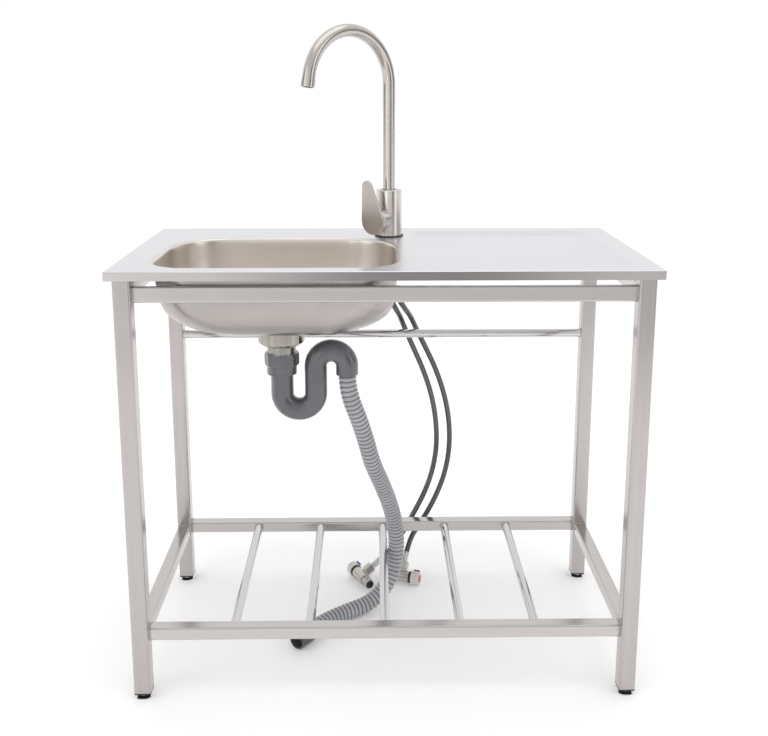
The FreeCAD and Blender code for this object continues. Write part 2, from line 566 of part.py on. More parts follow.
def tap():
    boss_axis = level_direction(size("boss_turn"))
    boss_turn = along(boss_axis)
    boss_place = TAP + (TAP_FOOT + " + boss_height - tap_gasket_height",)
    gasket = turned("tap_base_gasket", [
        ("tap_shank_radius + tap_hole_clearance", "0"), ("tap_gasket_radius", "0"),
        ("tap_gasket_radius", "tap_gasket_height"),
        ("tap_shank_radius + tap_hole_clearance", "tap_gasket_height")], TAP + ("worktop_height",))
    keep("tap_base_gasket", gasket)

    column = turned("tap_column", [
        ("0", "0"), ("tap_body_radius", "0"), ("tap_body_radius", "tap_body_height"),
        ("0", "tap_body_height")], TAP + (TAP_FOOT,))
    rounded_rings(column, [("tap_body_radius", "tap_body_height")], "tap_body_edge")
    boss = turned("tap_boss", [
        ("0", "0"), ("boss_radius", "0"), ("boss_radius", "boss_reach"), ("0", "boss_reach")],
        boss_place, boss_turn)
    rounded_rings(boss, [("boss_radius", "boss_reach")], "boss_edge")
    seat = cylinder("tap_spout_seat", "spout_radius + running_clearance", "spout_seat_depth + cut_overrun",
                    TAP + (TAP_FOOT + " + tap_body_height - spout_seat_depth",))
    bush_seat = cylinder("tap_bush_seat", "spout_bush_radius", "spout_bush_depth + cut_overrun",
                         TAP + (TAP_FOOT + " + tap_body_height - spout_bush_depth",))
    shank_seat = cylinder("tap_shank_seat", "tap_shank_radius", "tap_shank_engage + cut_overrun",
                          TAP + (TAP_FOOT + " - cut_overrun",))
    pocket = cylinder("tap_cartridge_pocket", "cartridge_radius + cartridge_clearance",
                      "boss_reach - cartridge_back + cut_overrun", boss_place, boss_turn)
    pocket.Placement.Base = point(*boss_place) + boss_axis * size("cartridge_back")
    pocket.setExpression("Placement.Base.x", bound(TAP[0] + " + cartridge_back * cos(boss_turn * 1deg)"))
    pocket.setExpression("Placement.Base.y", bound(TAP[1] + " + cartridge_back * sin(boss_turn * 1deg)"))
    solid = fuse("tap_body_solid", [column, boss])
    keep("tap_body", cut("tap_body", solid, fuse("tap_body_bores", [seat, bush_seat, shank_seat, pocket])))

    bush = turned("spout_bush", [
        ("spout_radius + running_clearance", "0"), ("spout_bush_radius", "0"),
        ("spout_bush_radius", "spout_bush_depth + spout_bush_proud"),
        ("spout_radius + running_clearance", "spout_bush_depth + spout_bush_proud")],
        TAP + (TAP_FOOT + " + tap_body_height - spout_bush_depth",))
    keep("spout_bush", bush)
    shank_bottom = "worktop_height - sheet_gauge - tap_shank_length"
    shank_height = "tap_shank_length + sheet_gauge + tap_gasket_height + tap_shank_engage"
    shank = turned("tap_shank", [
        ("0", "0"), ("tap_shank_radius", "0"), ("tap_shank_radius", shank_height), ("0", shank_height)],
        TAP + (shank_bottom,))
    keep("tap_shank", shank)
    washer = turned("tap_fixing_washer", [
        ("tap_shank_radius + thread_clearance", "0"), ("fixing_washer_radius", "0"),
        ("fixing_washer_radius", "fixing_washer_height"),
        ("tap_shank_radius + thread_clearance", "fixing_washer_height")],
        TAP + ("worktop_height - sheet_gauge - fixing_washer_height",))
    keep("tap_fixing_washer", washer)
    nut_base = TAP + ("worktop_height - sheet_gauge - fixing_washer_height - fixing_nut_height",)
    keep("tap_fixing_nut", hexagon("tap_fixing_nut", "fixing_nut_radius", "fixing_nut_height",
                                   "tap_shank_radius + thread_clearance", nut_base))
    spout()
    mixer(boss_place, boss_axis)


def prism(name, sides, radius, height):
    """An upright prism with a regular outline."""
    block = doc.addObject("Part::Prism", name)
    block.Polygon = round(size(sides))
    block.setExpression("Circumradius", bound(radius))
    block.setExpression("Height", bound(height))
    return block


def hexagon(name, radius, height, bore, place, turn=None):
    """A hexagon nut with a plain bore."""
    block = prism(name + "_block", "hexagon_sides", radius, height)
    bind_place(block, place, turn)
    hole = cylinder(name + "_hole", bore, height, place, turn)
    return cut(name, block, hole)


def swept(name, path, radius):
    """A round bar along a path of lines and tangent arcs."""
    start = path.Edges[0]
    begin = path.OrderedVertexes[0].Point
    heading = start.tangentAt(start.FirstParameter)
    ring = Part.Wire(Part.Circle(begin, heading, radius).toShape())
    return shaped(name, path.makePipeShell([ring], True, False))


def spout():
    outward = level_direction(size("spout_turn"))
    foot = point(*TAP, TAP_FOOT + " + tap_body_height - spout_seat_depth")
    bend = size("spout_bend_radius")
    spring = point(*TAP, "worktop_height + spout_bend_height")
    hub = spring + outward * bend
    sweep = math.radians(size("spout_bend_angle"))

    def on_bend(angle):
        return hub - outward * (bend * math.cos(angle)) + Vector(0, 0, bend * math.sin(angle))

    end = on_bend(sweep)
    heading = outward * math.sin(sweep) + Vector(0, 0, math.cos(sweep))
    tail = end + heading * size("spout_tail")
    path = Part.Wire([Part.LineSegment(foot, spring).toShape(),
                      Part.Arc(spring, on_bend(sweep / 2), end).toShape(),
                      Part.LineSegment(end, tail).toShape()])
    bar = swept("spout_bar", path, size("spout_radius"))
    bore = swept("spout_bore", path, size("spout_radius - spout_wall"))
    keep("tap_spout", cut("tap_spout", bar, bore))
    aerator = turned("aerator", [
        ("0", "0"), ("aerator_radius", "0"), ("aerator_radius", "aerator_length"),
        ("aerator_bore", "aerator_length"), ("aerator_bore", "aerator_screen"), ("0", "aerator_screen")])
    bored_round(aerator, "aerator_mesh_hole", "aerator_mesh_ring", "aerator_mesh_count")
    aerator.Placement = Placement(tail, along(heading))
    keep("aerator", aerator)
    return heading


def mixer(place, axis):
    turn = along(axis)
    centre = point(*place)

    def at(reach):
        return Placement(centre + axis * size(reach), turn)

    cartridge = turned("cartridge", [
        ("0", "0"), ("cartridge_radius", "0"), ("cartridge_radius", "cartridge_front - cartridge_back"),
        ("carrier_radius + running_clearance", "cartridge_front - cartridge_back"),
        ("carrier_radius + running_clearance", "carrier_back - cartridge_back - running_clearance"),
        ("0", "carrier_back - cartridge_back - running_clearance")])
    cartridge.Placement = at("cartridge_back")
    keep("cartridge", cartridge)
    nut = turned("cartridge_nut", [
        ("retaining_nut_bore", "0"), ("cartridge_radius", "0"),
        ("cartridge_radius", "boss_reach - cartridge_front"),
        ("retaining_nut_bore", "boss_reach - cartridge_front")])
    nut.Placement = at("cartridge_front")
    keep("cartridge_nut", nut)

    upright = Vector(0, 0, 1)
    across = upright.cross(axis)
    tilt = math.radians(size("lever_rest_turn"))
    rise = upright * math.cos(tilt) - across * math.sin(tilt)
    side = rise.cross(axis)
    frame = Placement(centre, Rotation(side, rise, axis, "ZXY"))

    carrier = Part.makeCylinder(size("carrier_radius"), size("carrier_front - carrier_back"),
                                point("0", "0", "carrier_back"))
    slot = Part.makeBox(size("carrier_slot_width"), size("carrier_slot_height"),
                        size("carrier_front - carrier_back"),
                        point("-carrier_slot_width / 2", "-carrier_slot_height / 2",
                              "lever_stem_back - lever_edge"))
    pin_hole = Part.makeCylinder(size("pivot_pin_radius + running_clearance"), size("2 * carrier_radius"),
                                 point("-carrier_radius", "0", "lever_pivot"), Vector(1, 0, 0))
    keep("cartridge_carrier", shaped("cartridge_carrier", carrier.cut(slot).cut(pin_hole), frame))

    low, high, up = size("lever_low_radius"), size("lever_high_radius"), size("lever_rise")
    lean = math.asin((low - high) / up)
    back = size("lever_plate_back")
    right = Vector(math.cos(lean), math.sin(lean), 0)
    left = Vector(-right.x, right.y, 0)
    base, tip = Vector(0, 0, back), Vector(0, up, back)
    outline = Part.Wire([
        Part.Arc(base + left * low, base - Vector(0, low, 0), base + right * low).toShape(),
        Part.LineSegment(base + right * low, tip + right * high).toShape(),
        Part.Arc(tip + right * high, tip + Vector(0, high, 0), tip + left * high).toShape(),
        Part.LineSegment(tip + left * high, base + left * low).toShape()])
    plate = Part.Face(outline).extrude(point("0", "0", "lever_plate_thickness"))
    front = back + size("lever_plate_thickness")
    plate = plate.makeFillet(size("lever_edge"), low_edges(plate, back) + low_edges(plate, front))
    stem = Part.makeBox(size("lever_stem_width"), size("lever_stem_height"),
                        size("lever_plate_back - lever_stem_back + lever_edge"),
                        point("-lever_stem_width / 2", "-lever_stem_height / 2", "lever_stem_back"))
    pin = Part.makeCylinder(size("pivot_pin_radius"), size("2 * carrier_radius - lever_edge"),
                            point("lever_edge / 2 - carrier_radius", "0", "lever_pivot"), Vector(1, 0, 0))
    screw_hole = Part.makeCylinder(size("lever_screw_radius"), size("lever_screw_head"),
                                   Vector(0, 0, front - size("lever_screw_head")))
    keep("lever", shaped("lever", plate.fuse([stem, pin]).cut(screw_hole).removeSplitter(), frame))
    screw = Part.makeCylinder(size("lever_screw_radius - running_clearance"), size("lever_screw_head / 2"),
                              Vector(0, 0, front - size("lever_screw_head")))
    keep("lever_screw", shaped("lever_screw", screw, frame))


def waste():
    """Basket strainer through the bowl floor, its nuts and seals, and the trap."""
    base = DRAIN + (NECK_END,)
    floor, rim = "(strainer_neck_drop - strainer_depth)", "strainer_neck_drop"
    strainer = turned("strainer_body", [
        ("drain_bore", "0"), ("strainer_neck_radius", "0"), ("strainer_neck_radius", floor),
        ("strainer_body_radius", floor), ("strainer_body_radius", rim), ("strainer_flange_radius", rim),
        ("strainer_flange_radius", rim + " + strainer_flange_height"),
        ("strainer_body_radius - strainer_wall", rim + " + strainer_flange_height"),
        ("strainer_body_radius - strainer_wall", floor + " + strainer_floor_height"),
        ("drain_bore", floor + " + strainer_floor_height")], base)
    rounded_rings(strainer, [("strainer_flange_radius", rim + " + strainer_flange_height")],
                  "strainer_flange_height / 2")
    keep("strainer_body", strainer)
    basket_base = DRAIN + (BOWL_FLOOR + " + strainer_flange_height + basket_seat_gap - basket_depth",)
    basket = turned("strainer_basket", [
        ("0", "0"), ("basket_radius", "0"), ("basket_radius", "basket_depth"),
        ("basket_rim_radius", "basket_depth"), ("basket_rim_radius", "basket_depth + basket_wall"),
        ("basket_radius - basket_wall", "basket_depth + basket_wall"),
        ("basket_radius - basket_wall", "basket_wall"), ("basket_post_radius", "basket_wall"),
        ("basket_post_radius", "basket_knob_height - basket_knob_radius"),
        ("basket_knob_radius", "basket_knob_height - basket_knob_radius / 2"),
        ("basket_knob_radius", "basket_knob_height"), ("0", "basket_knob_height")], basket_base)
    rounded_rings(basket, [("basket_knob_radius", "basket_knob_height")], "basket_wall")
    for ring, holes in (("basket_hole_ring", "basket_holes"), ("basket_inner_ring", "basket_holes / 2")):
        bored_round(basket, "basket_hole_radius", ring, holes)
    keep("strainer_basket", basket)
    gasket = turned("waste_gasket", [
        ("strainer_body_radius + thread_clearance", "0"), ("waste_gasket_radius", "0"),
        ("waste_gasket_radius", "waste_gasket_height"),
        ("strainer_body_radius + thread_clearance", "waste_gasket_height")],
        DRAIN + (BOWL_UNDER + " - waste_gasket_height",))
    keep("waste_gasket", gasket)
    locknut = turned("waste_locknut", [
        ("strainer_body_radius + thread_clearance", "0"), ("locknut_radius - locknut_chamfer", "0"),
        ("locknut_radius", "locknut_chamfer"), ("locknut_radius", "locknut_height"),
        ("strainer_body_radius + thread_clearance", "locknut_height")],
        DRAIN + (BOWL_UNDER + " - waste_gasket_height - locknut_height",))
    bored_round(locknut, "locknut_rib_radius", "locknut_radius + locknut_rib_radius / 2", "locknut_ribs")
    keep("waste_locknut", locknut)

    pipe_top = NECK_END + " - trap_washer_height"
    washer = turned("trap_washer", [
        ("drain_bore", "0"), ("strainer_neck_radius", "0"), ("strainer_neck_radius", "trap_washer_height"),
        ("drain_bore", "trap_washer_height")], DRAIN + (pipe_top,))
    keep("trap_washer", washer)
    crown = "(trap_collar_height + trap_nut_height)"
    shoulder = "(%s - trap_nut_engage - trap_washer_height)" % crown
    nut_base = DRAIN + ("%s + trap_nut_engage - %s" % (NECK_END, crown),)
    ring = turned("trap_nut_ring", [
        ("trap_pipe_radius + trap_clearance", "0"), ("trap_collar_radius", "0"),
        ("trap_collar_radius", "trap_collar_height"),
        ("trap_nut_radius - trap_nut_chamfer", "trap_collar_height"),
        ("trap_nut_radius", "trap_collar_height + trap_nut_chamfer"),
        ("trap_nut_radius", crown + " - trap_nut_chamfer"), ("trap_nut_radius - trap_nut_chamfer", crown),
        ("strainer_neck_radius + trap_clearance", crown), ("strainer_neck_radius + trap_clearance", shoulder),
        ("trap_pipe_radius + trap_clearance", shoulder)], nut_base)
    flats = prism("trap_nut_flats", "trap_nut_flats", "trap_nut_radius", crown)
    bind_place(flats, nut_base)
    nut = doc.addObject("Part::Common", "trap_nut")
    nut.Base = ring
    nut.Tool = flats
    doc.recompute()
    keep("trap_nut", nut)

    inlet = point(*DRAIN, pipe_top)
    low, high = size("trap_low_bend_radius"), size("trap_high_bend_radius")
    right, up = Vector(1, 0, 0), Vector(0, 0, 1)
    drop_end = point(*DRAIN, NECK_END + " - trap_drop")
    low_exit = drop_end + right * (2 * low)
    high_entry = low_exit + up * size("trap_rise")
    high_exit = high_entry + right * (2 * high)
    outlet = high_exit - up * size("trap_outlet_run")
    path = Part.Wire([Part.LineSegment(inlet, drop_end).toShape(),
                      Part.Arc(drop_end, drop_end + (right - up) * low, low_exit).toShape(),
                      Part.LineSegment(low_exit, high_entry).toShape(),
                      Part.Arc(high_entry, high_entry + (right + up) * high, high_exit).toShape(),
                      Part.LineSegment(high_exit, outlet).toShape()])
    pipe = swept("trap_pipe", path, size("trap_pipe_radius"))
    bore = swept("trap_pipe_bore", path, size("trap_pipe_radius - trap_pipe_wall"))
    keep("trap_bend", cut("trap_bend", pipe, bore))
    spigot = "trap_pipe_radius - trap_pipe_wall"
    bush = turned("hose_bush", [
        ("hose_rib_radius + hose_bush_clearance", "0"), ("trap_pipe_radius", "0"),
        ("trap_pipe_radius", "hose_bush_height"), (spigot, "hose_bush_height"),
        (spigot, "hose_bush_height + hose_bush_spigot"),
        ("hose_rib_radius + hose_bush_clearance", "hose_bush_height + hose_bush_spigot")])
    bush.Placement = Placement(outlet - up * size("hose_bush_height"), Rotation())
    keep("hose_bush", bush)


def smooth_path(name, route):
    """Straight runs joined by tangent arcs as large as the runs allow, and its bend radii printed."""
    spots = [Vector(*spot) for spot in route]
    edges, radii, leave = [], [], spots[0]
    for before, corner, after in zip(spots, spots[1:], spots[2:]):
        arrive, depart = corner - before, after - corner
        reach = BEND_SHARE * min(arrive.Length, depart.Length)
        into, out = arrive.normalize(), depart.normalize()
        half_turn = into.getAngle(out) / 2
        radius = reach / math.tan(half_turn)
        start, end = corner - into * reach, corner + out * reach
        inward = (out - into).normalize()
        middle = corner + inward * (radius / math.cos(half_turn) - radius)
        if (start - leave).Length > Part.Precision.confusion():
            edges.append(Part.LineSegment(leave, start).toShape())
        edges.append(Part.Arc(start, middle, end).toShape())
        radii.append(round(radius))
        leave = end
    edges.append(Part.LineSegment(leave, spots[-1]).toShape())
    print(name, "bend radii", radii)
    return Part.Wire(edges)


def stations(path, step):
    """Evenly spaced points along a path, with the heading at each."""
    count = round(path.Length / step)
    places = []
    for number in range(count + 1):
        left = path.Length * number / count
        for edge in path.Edges:
            if left <= edge.Length or edge is path.Edges[-1]:
                where = edge.getParameterByLength(min(left, edge.Length))
                places.append((edge.valueAt(where), edge.tangentAt(where)))
                break
            left -= edge.Length
    return places


def ribbed_hose():
    path = smooth_path("drain_hose", DRAIN_HOSE_ROUTE)
    quarters = stations(path, size("hose_rib_pitch") / 4)
    crest, root = size("hose_rib_radius"), size("hose_root_radius")
    steady = Vector(1, -1, 0).normalize()

    def ring(place, heading, radius):
        turn = Rotation(steady, Vector(0, 0, 0), heading, "ZXY")
        circle = Part.Circle(Vector(0, 0, 0), Vector(0, 0, 1), radius)
        wire = Part.Wire(circle.toShape())
        wire.Placement = Placement(place, turn)
        return wire

    profile = (root, root, crest, crest)
    outer = [ring(place, heading, profile[number % 4]) for number, (place, heading) in enumerate(quarters)]
    body = Part.makeLoft(outer, True, True)
    inner = [ring(place, heading, size("hose_bore_radius")) for place, heading in quarters[::4]]
    bore = Part.makeLoft(inner, True, True)
    print("drain_hose ribs", len(quarters) // 4, "length", round(path.Length, 1))
    hose = body.cut(bore)
    expected = math.pi * path.Length * (((crest + root) / 2) ** 2 - size("hose_bore_radius") ** 2)
    print("drain_hose volume share of section times length", round(hose.Volume / expected, 3))
    keep("drain_hose", shaped("drain_hose", hose))
    end, heading = quarters[-1]
    cuff = turned("drain_hose_cuff", [
        ("cuff_bore_radius", "0"), ("cuff_radius", "0"), ("cuff_radius", "cuff_length"),
        ("cuff_bore_radius", "cuff_length")])
    rounded_rings(cuff, [("cuff_radius", "0"), ("cuff_radius", "cuff_length")], "cuff_edge")
    cuff.Placement = Placement(end, along(heading))
    keep("drain_hose_cuff", cuff)


def plain_hose(name, route):
    path = smooth_path(name, route)
    radius = size("tap_hose_radius")
    hose = swept(name, path, radius)
    print(name, "length", round(path.Length, 1),
          "volume share", round(hose.Shape.Volume / (math.pi * radius ** 2 * path.Length), 4))
    keep(name, hose)


def valve(side):
    """An angle valve on the floor: body with side branch, packing ring, knob and its mark."""
    axis = level_direction(size(side + "_turn"))
    start = point(side + "_knob_right", side + "_knob_rear", "valve_axis_height")
    tilt = math.radians(size(side + "_branch_tilt"))
    sideways = Vector(-axis.y, axis.x, 0)
    if sideways.y < 0:
        sideways = -sideways
    branch_axis = sideways * math.cos(tilt) + Vector(0, 0, math.sin(tilt))
    turn = along(axis)
    stem_bore = "valve_stem_radius + running_clearance"

    def at(reach):
        return Placement(start + axis * size(reach), turn)

    knob = turned("valve_%s_knob" % side, [
        ("0", "valve_mark_height"), ("valve_knob_radius", "valve_mark_height"),
        ("valve_knob_radius", "valve_knob_length"), (stem_bore, "valve_knob_length"),
        (stem_bore, "valve_knob_length / 2"), ("0", "valve_knob_length / 2")])
    rounded_rings(knob, [("valve_knob_radius", "valve_mark_height")], "valve_knob_edge")
    bored_round(knob, "valve_flute_radius", "valve_knob_radius + valve_flute_radius / 2", "valve_flutes")
    knob.Placement = Placement(start, turn)
    keep("valve_%s_knob" % side, knob)
    mark = turned("valve_%s_mark" % side, [
        ("0", "0"), ("valve_mark_radius", "0"), ("valve_mark_radius", "valve_mark_height"),
        ("0", "valve_mark_height")])
    mark.Placement = Placement(start, turn)
    keep("valve_%s_mark" % side, mark)
    ring = turned("valve_%s_packing_ring" % side, [
        (stem_bore, "0"), ("valve_ring_radius", "0"), ("valve_ring_radius", "valve_ring_length"),
        (stem_bore, "valve_ring_length")])
    ring.Placement = at("valve_knob_length + valve_bonnet_gap")
    keep("valve_%s_packing_ring" % side, ring)

    body_start = "valve_knob_length + valve_bonnet_gap + valve_ring_length"
    body_end = "valve_body_length + valve_thread_length"
    body = turned("valve_%s_barrel" % side, [
        ("0", "0"), ("valve_body_radius", "0"), ("valve_body_radius", "valve_body_length"),
        ("valve_thread_radius", "valve_body_length"), ("valve_thread_radius", body_end),
        ("valve_bore_radius", body_end), ("valve_bore_radius", "valve_body_length"),
        ("0", "valve_body_length")])
    rounded_rings(body, [("valve_body_radius", "0"), ("valve_body_radius", "valve_body_length")],
                  "valve_body_edge")
    body.Placement = at(body_start)
    stem = cylinder("valve_%s_stem" % side, "valve_stem_radius", "valve_knob_length / 2 + valve_ring_length")
    stem.Placement = at("valve_knob_length / 2 + valve_bonnet_gap")
    branch = cylinder("valve_%s_branch" % side, "valve_branch_radius", "valve_branch_length")
    middle = start + axis * size("valve_branch_from_knob")
    branch.Placement = Placement(middle, along(branch_axis))
    keep("valve_%s_body" % side, fuse("valve_%s_body" % side, [body, stem, branch]))

    nut = prism("hose_%s_nut_block" % side, "hexagon_sides", "hose_nut_radius", "hose_nut_length")
    nut.Placement = Placement(middle + branch_axis * size("hose_nut_start"), along(branch_axis))
    socket = doc.addObject("Part::Cylinder", "hose_%s_nut_socket" % side)
    socket.setExpression("Radius", bound("valve_branch_radius + thread_clearance"))
    socket.setExpression("Height", bound("valve_branch_length - hose_nut_start + thread_clearance"))
    socket.Placement = nut.Placement
    ferrule = doc.addObject("Part::Cylinder", "hose_%s_low_ferrule" % side)
    ferrule.setExpression("Radius", bound("ferrule_radius"))
    ferrule.setExpression("Height", bound("ferrule_length"))
    nut_end = middle + branch_axis * size("hose_nut_start + hose_nut_length")
    ferrule.Placement = Placement(nut_end, along(branch_axis))
    print("hose_%s end" % side, nut_end + branch_axis * size("ferrule_length"))
    return cut("hose_%s_nut" % side, nut, socket), ferrule


def tap_hoses():
    ferrules, nuts = [], []
    top = "worktop_height - sheet_gauge - tap_shank_length - ferrule_length"
    for side, right in (("cold", -1), ("hot", 1)):
        nut, low = valve(side)
        nuts.append(nut)
        high = cylinder("hose_%s_high_ferrule" % side, "ferrule_radius", "ferrule_length",
                        ("%s + %d * hose_spread / 2" % (TAP[0], right), TAP[1], top))
        ferrules += [high, low]
    plain_hose("hose_cold", COLD_HOSE_ROUTE)
    plain_hose("hose_hot", HOT_HOSE_ROUTE)
    for label, pieces in (("hose_ferrules", ferrules), ("hose_nuts", nuts)):
        group = doc.addObject("Part::Compound", label)
        group.Links = pieces
        keep(label, group)
    doc.recompute()


worktop()
bowl()
stand()
feet()
tap()
waste()
ribbed_hose()
tap_hoses()
doc.recompute()

faults = [item.Name for item in doc.Objects if "Invalid" in item.State or "Error" in item.State]
faults += [label for label, piece in nodes.items() if piece.Shape.isNull() or not piece.Shape.isValid()]
if faults:
    raise ValueError("failed: " + ", ".join(faults))

os.makedirs("parts", exist_ok=True)
for label, piece in nodes.items():
    piece.Shape.exportStep("parts/%s.step" % label)
print(len(nodes), "sub-parts written")
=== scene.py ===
"""Looks of the freestanding steel sink: finishes, ribbed and braided hoses, weld beads, light and camera.

Metres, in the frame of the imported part: +X to the right, +Y to the rear, +Z up from the floor.
"""

import math

import bmesh
import bpy
from mathutils import Matrix, Vector


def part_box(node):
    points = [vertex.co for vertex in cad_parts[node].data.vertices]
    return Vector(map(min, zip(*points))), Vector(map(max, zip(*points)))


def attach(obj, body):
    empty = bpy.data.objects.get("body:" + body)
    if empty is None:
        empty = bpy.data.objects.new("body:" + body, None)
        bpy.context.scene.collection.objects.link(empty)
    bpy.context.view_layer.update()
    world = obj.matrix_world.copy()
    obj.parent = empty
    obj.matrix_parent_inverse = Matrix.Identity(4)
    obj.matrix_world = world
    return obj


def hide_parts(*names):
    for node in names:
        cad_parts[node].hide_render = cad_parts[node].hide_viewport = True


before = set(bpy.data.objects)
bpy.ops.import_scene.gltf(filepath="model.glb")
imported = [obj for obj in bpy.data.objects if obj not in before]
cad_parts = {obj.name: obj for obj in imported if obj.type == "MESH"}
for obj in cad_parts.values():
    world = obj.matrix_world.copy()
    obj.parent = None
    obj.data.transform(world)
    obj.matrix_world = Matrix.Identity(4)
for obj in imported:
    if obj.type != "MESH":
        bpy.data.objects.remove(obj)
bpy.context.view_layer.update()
scene = bpy.context.scene

# Centre lines of the hoses, as in the part's source
DRAIN_HOSE_ROUTE = [
    (-0.075, -0.051, 0.6157), (-0.075, -0.051, 0.580), (-0.067, -0.047, 0.540), (-0.052, -0.036, 0.497),
    (-0.038, -0.019, 0.445), (-0.025, 0.000, 0.385), (-0.004, 0.038, 0.322), (0.015, 0.076, 0.256),
    (0.028, 0.104, 0.190), (0.031, 0.112, 0.130), (0.024, 0.106, 0.082), (0.004, 0.089, 0.044),
    (-0.032, 0.064, 0.0215), (-0.072, 0.040, 0.0187), (-0.108, 0.014, 0.0187), (-0.139, -0.015, 0.0187),
    (-0.163, -0.046, 0.0187),
]
COLD_HOSE_ROUTE = [
    (0.005, 0.143, 0.7665), (0.005, 0.143, 0.739), (0.016, 0.149, 0.708), (0.029, 0.176, 0.678),
    (0.040, 0.213, 0.652), (0.052, 0.243, 0.615), (0.072, 0.258, 0.566), (0.098, 0.265, 0.506),
    (0.119, 0.268, 0.440), (0.130, 0.269, 0.372), (0.131, 0.269, 0.306), (0.120, 0.269, 0.244),
    (0.100, 0.268, 0.188), (0.074, 0.265, 0.138), (0.048, 0.251, 0.096), (0.0234, 0.2318, 0.0658),
    (-0.007, 0.2159, 0.046),
]
HOT_HOSE_ROUTE = [
    (0.021, 0.143, 0.7665), (0.021, 0.143, 0.739), (0.034, 0.149, 0.708), (0.050, 0.176, 0.678),
    (0.064, 0.213, 0.652), (0.079, 0.243, 0.613), (0.103, 0.259, 0.562), (0.130, 0.266, 0.502),
    (0.151, 0.269, 0.436), (0.162, 0.270, 0.368), (0.162, 0.270, 0.302), (0.151, 0.270, 0.240),
    (0.131, 0.269, 0.186), (0.107, 0.268, 0.138), (0.0875, 0.268, 0.107), (0.0675, 0.2601, 0.0772),
    (0.0582, 0.2344, 0.0543),
]


# Camera

CAMERA_SENSOR = 36
CAMERA_LENS = 44.151
CAMERA_SHIFT = -0.1354
CAMERA_PLACE = (-0.0256, -1.88, 1.18)
CAMERA_DOWN_DEGREES = 10.998
CAMERA_RIGHT_DEGREES = 0.791


def place_camera():
    lens = bpy.data.cameras.new("photo_camera")
    lens.sensor_width = CAMERA_SENSOR
    lens.lens = CAMERA_LENS
    lens.shift_y = CAMERA_SHIFT
    camera = bpy.data.objects.new("photo_camera", lens)
    scene.collection.objects.link(camera)
    camera.location = CAMERA_PLACE
    camera.rotation_euler = (math.radians(90 - CAMERA_DOWN_DEGREES), 0, math.radians(-CAMERA_RIGHT_DEGREES))
    scene.camera = camera


place_camera()


# Hoses

HOSE_RIB_RADIUS = 0.0185
HOSE_ROOT_RADIUS = 0.0158
HOSE_RIB_PITCH = 0.010
RIB_SWELL_POWER = 0.6
RINGS_PER_RIB = 10
DRAIN_HOSE_SIDES = 36
DRAIN_HOSE_DIVISIONS = 24
TAP_HOSE_RADIUS = 0.0062
TAP_HOSE_RING_STEP = 0.004
TAP_HOSE_SIDES = 24
TAP_HOSE_DIVISIONS = 16
VALVE_PIECES = ("body", "packing_ring", "knob", "mark")


def hose_line(name, route, divisions):
    """Points along the smooth line that has the route's points as its control points."""
    curve = bpy.data.curves.new(name, "CURVE")
    curve.dimensions = "3D"
    curve.resolution_u = divisions
    spline = curve.splines.new("NURBS")
    spline.points.add(len(route) - 1)
    for knot, spot in zip(spline.points, route):
        knot.co = (*spot, 1)
    spline.order_u = 3
    spline.use_endpoint_u = True
    holder = bpy.data.objects.new(name, curve)
    scene.collection.objects.link(holder)
    bpy.context.view_layer.update()
    line = bpy.data.meshes.new_from_object(holder.evaluated_get(bpy.context.evaluated_depsgraph_get()))
    points = [vertex.co.copy() for vertex in line.vertices]
    bpy.data.objects.remove(holder)
    bpy.data.curves.remove(curve)
    bpy.data.meshes.remove(line)
    return points


def even_line(points, step):
    """The same line with its points an even step apart, and its length."""
    lengths = [0]
    for before, after in zip(points, points[1:]):
        lengths.append(lengths[-1] + (after - before).length)
    count = round(lengths[-1] / step)
    even, index = [], 0
    for number in range(count + 1):
        where = lengths[-1] * number / count
        while index < len(points) - 2 and lengths[index + 1] < where:
            index += 1
        share = (where - lengths[index]) / (lengths[index + 1] - lengths[index])
        even.append(points[index].lerp(points[index + 1], min(share, 1)))
    return even, lengths[-1]


def ring_faces(rings, around):
    """The faces that join each ring of corners to the next."""
    faces = []
    for ring in range(rings - 1):
        for step in range(around):
            right = (step + 1) % around
            faces.append((ring * around + step, ring * around + right,
                          (ring + 1) * around + right, (ring + 1) * around + step))
    return faces


def hose_skin(name, points, radii, around):
    """A closed tube along the points, with a UV map that runs along it and round it."""
    heading = (points[1] - points[0]).normalized()
    across = heading.orthogonal().normalized()
    corners, walks, walk = [], [], 0
    for index, spot in enumerate(points):
        before, after = points[max(index - 1, 0)], points[min(index + 1, len(points) - 1)]
        turned = (after - before).normalized()
        across = (heading.rotation_difference(turned) @ across).normalized()
        heading = turned
        other = heading.cross(across)
        if index:
            walk += (spot - points[index - 1]).length
        walks.append(walk)
        for step in range(around):
            angle = math.tau * step / around
            corners.append(spot + (across * math.cos(angle) + other * math.sin(angle)) * radii[index])
    faces = ring_faces(len(points), around)
    faces.append(tuple(reversed(range(around))))
    faces.append(tuple(range(len(corners) - around, len(corners))))
    mesh = bpy.data.meshes.new(name)
    mesh.from_pydata(corners, [], faces)
    lay = mesh.uv_layers.new(name="along_hose")
    for face in mesh.polygons:
        spots = [divmod(corner, around) for corner in face.vertices]
        wraps = any(step == around - 1 for _, step in spots)
        for loop, (ring, step) in zip(face.loop_indices, spots):
            turn = 1 if wraps and step == 0 else step / around
            lay.data[loop].uv = (walks[ring], turn)
    mesh.polygons.foreach_set("use_smooth", [True] * (len(mesh.polygons) - 2) + [False] * 2)
    mesh.update()
    hose = bpy.data.objects.new(name, mesh)
    scene.collection.objects.link(hose)
    return hose


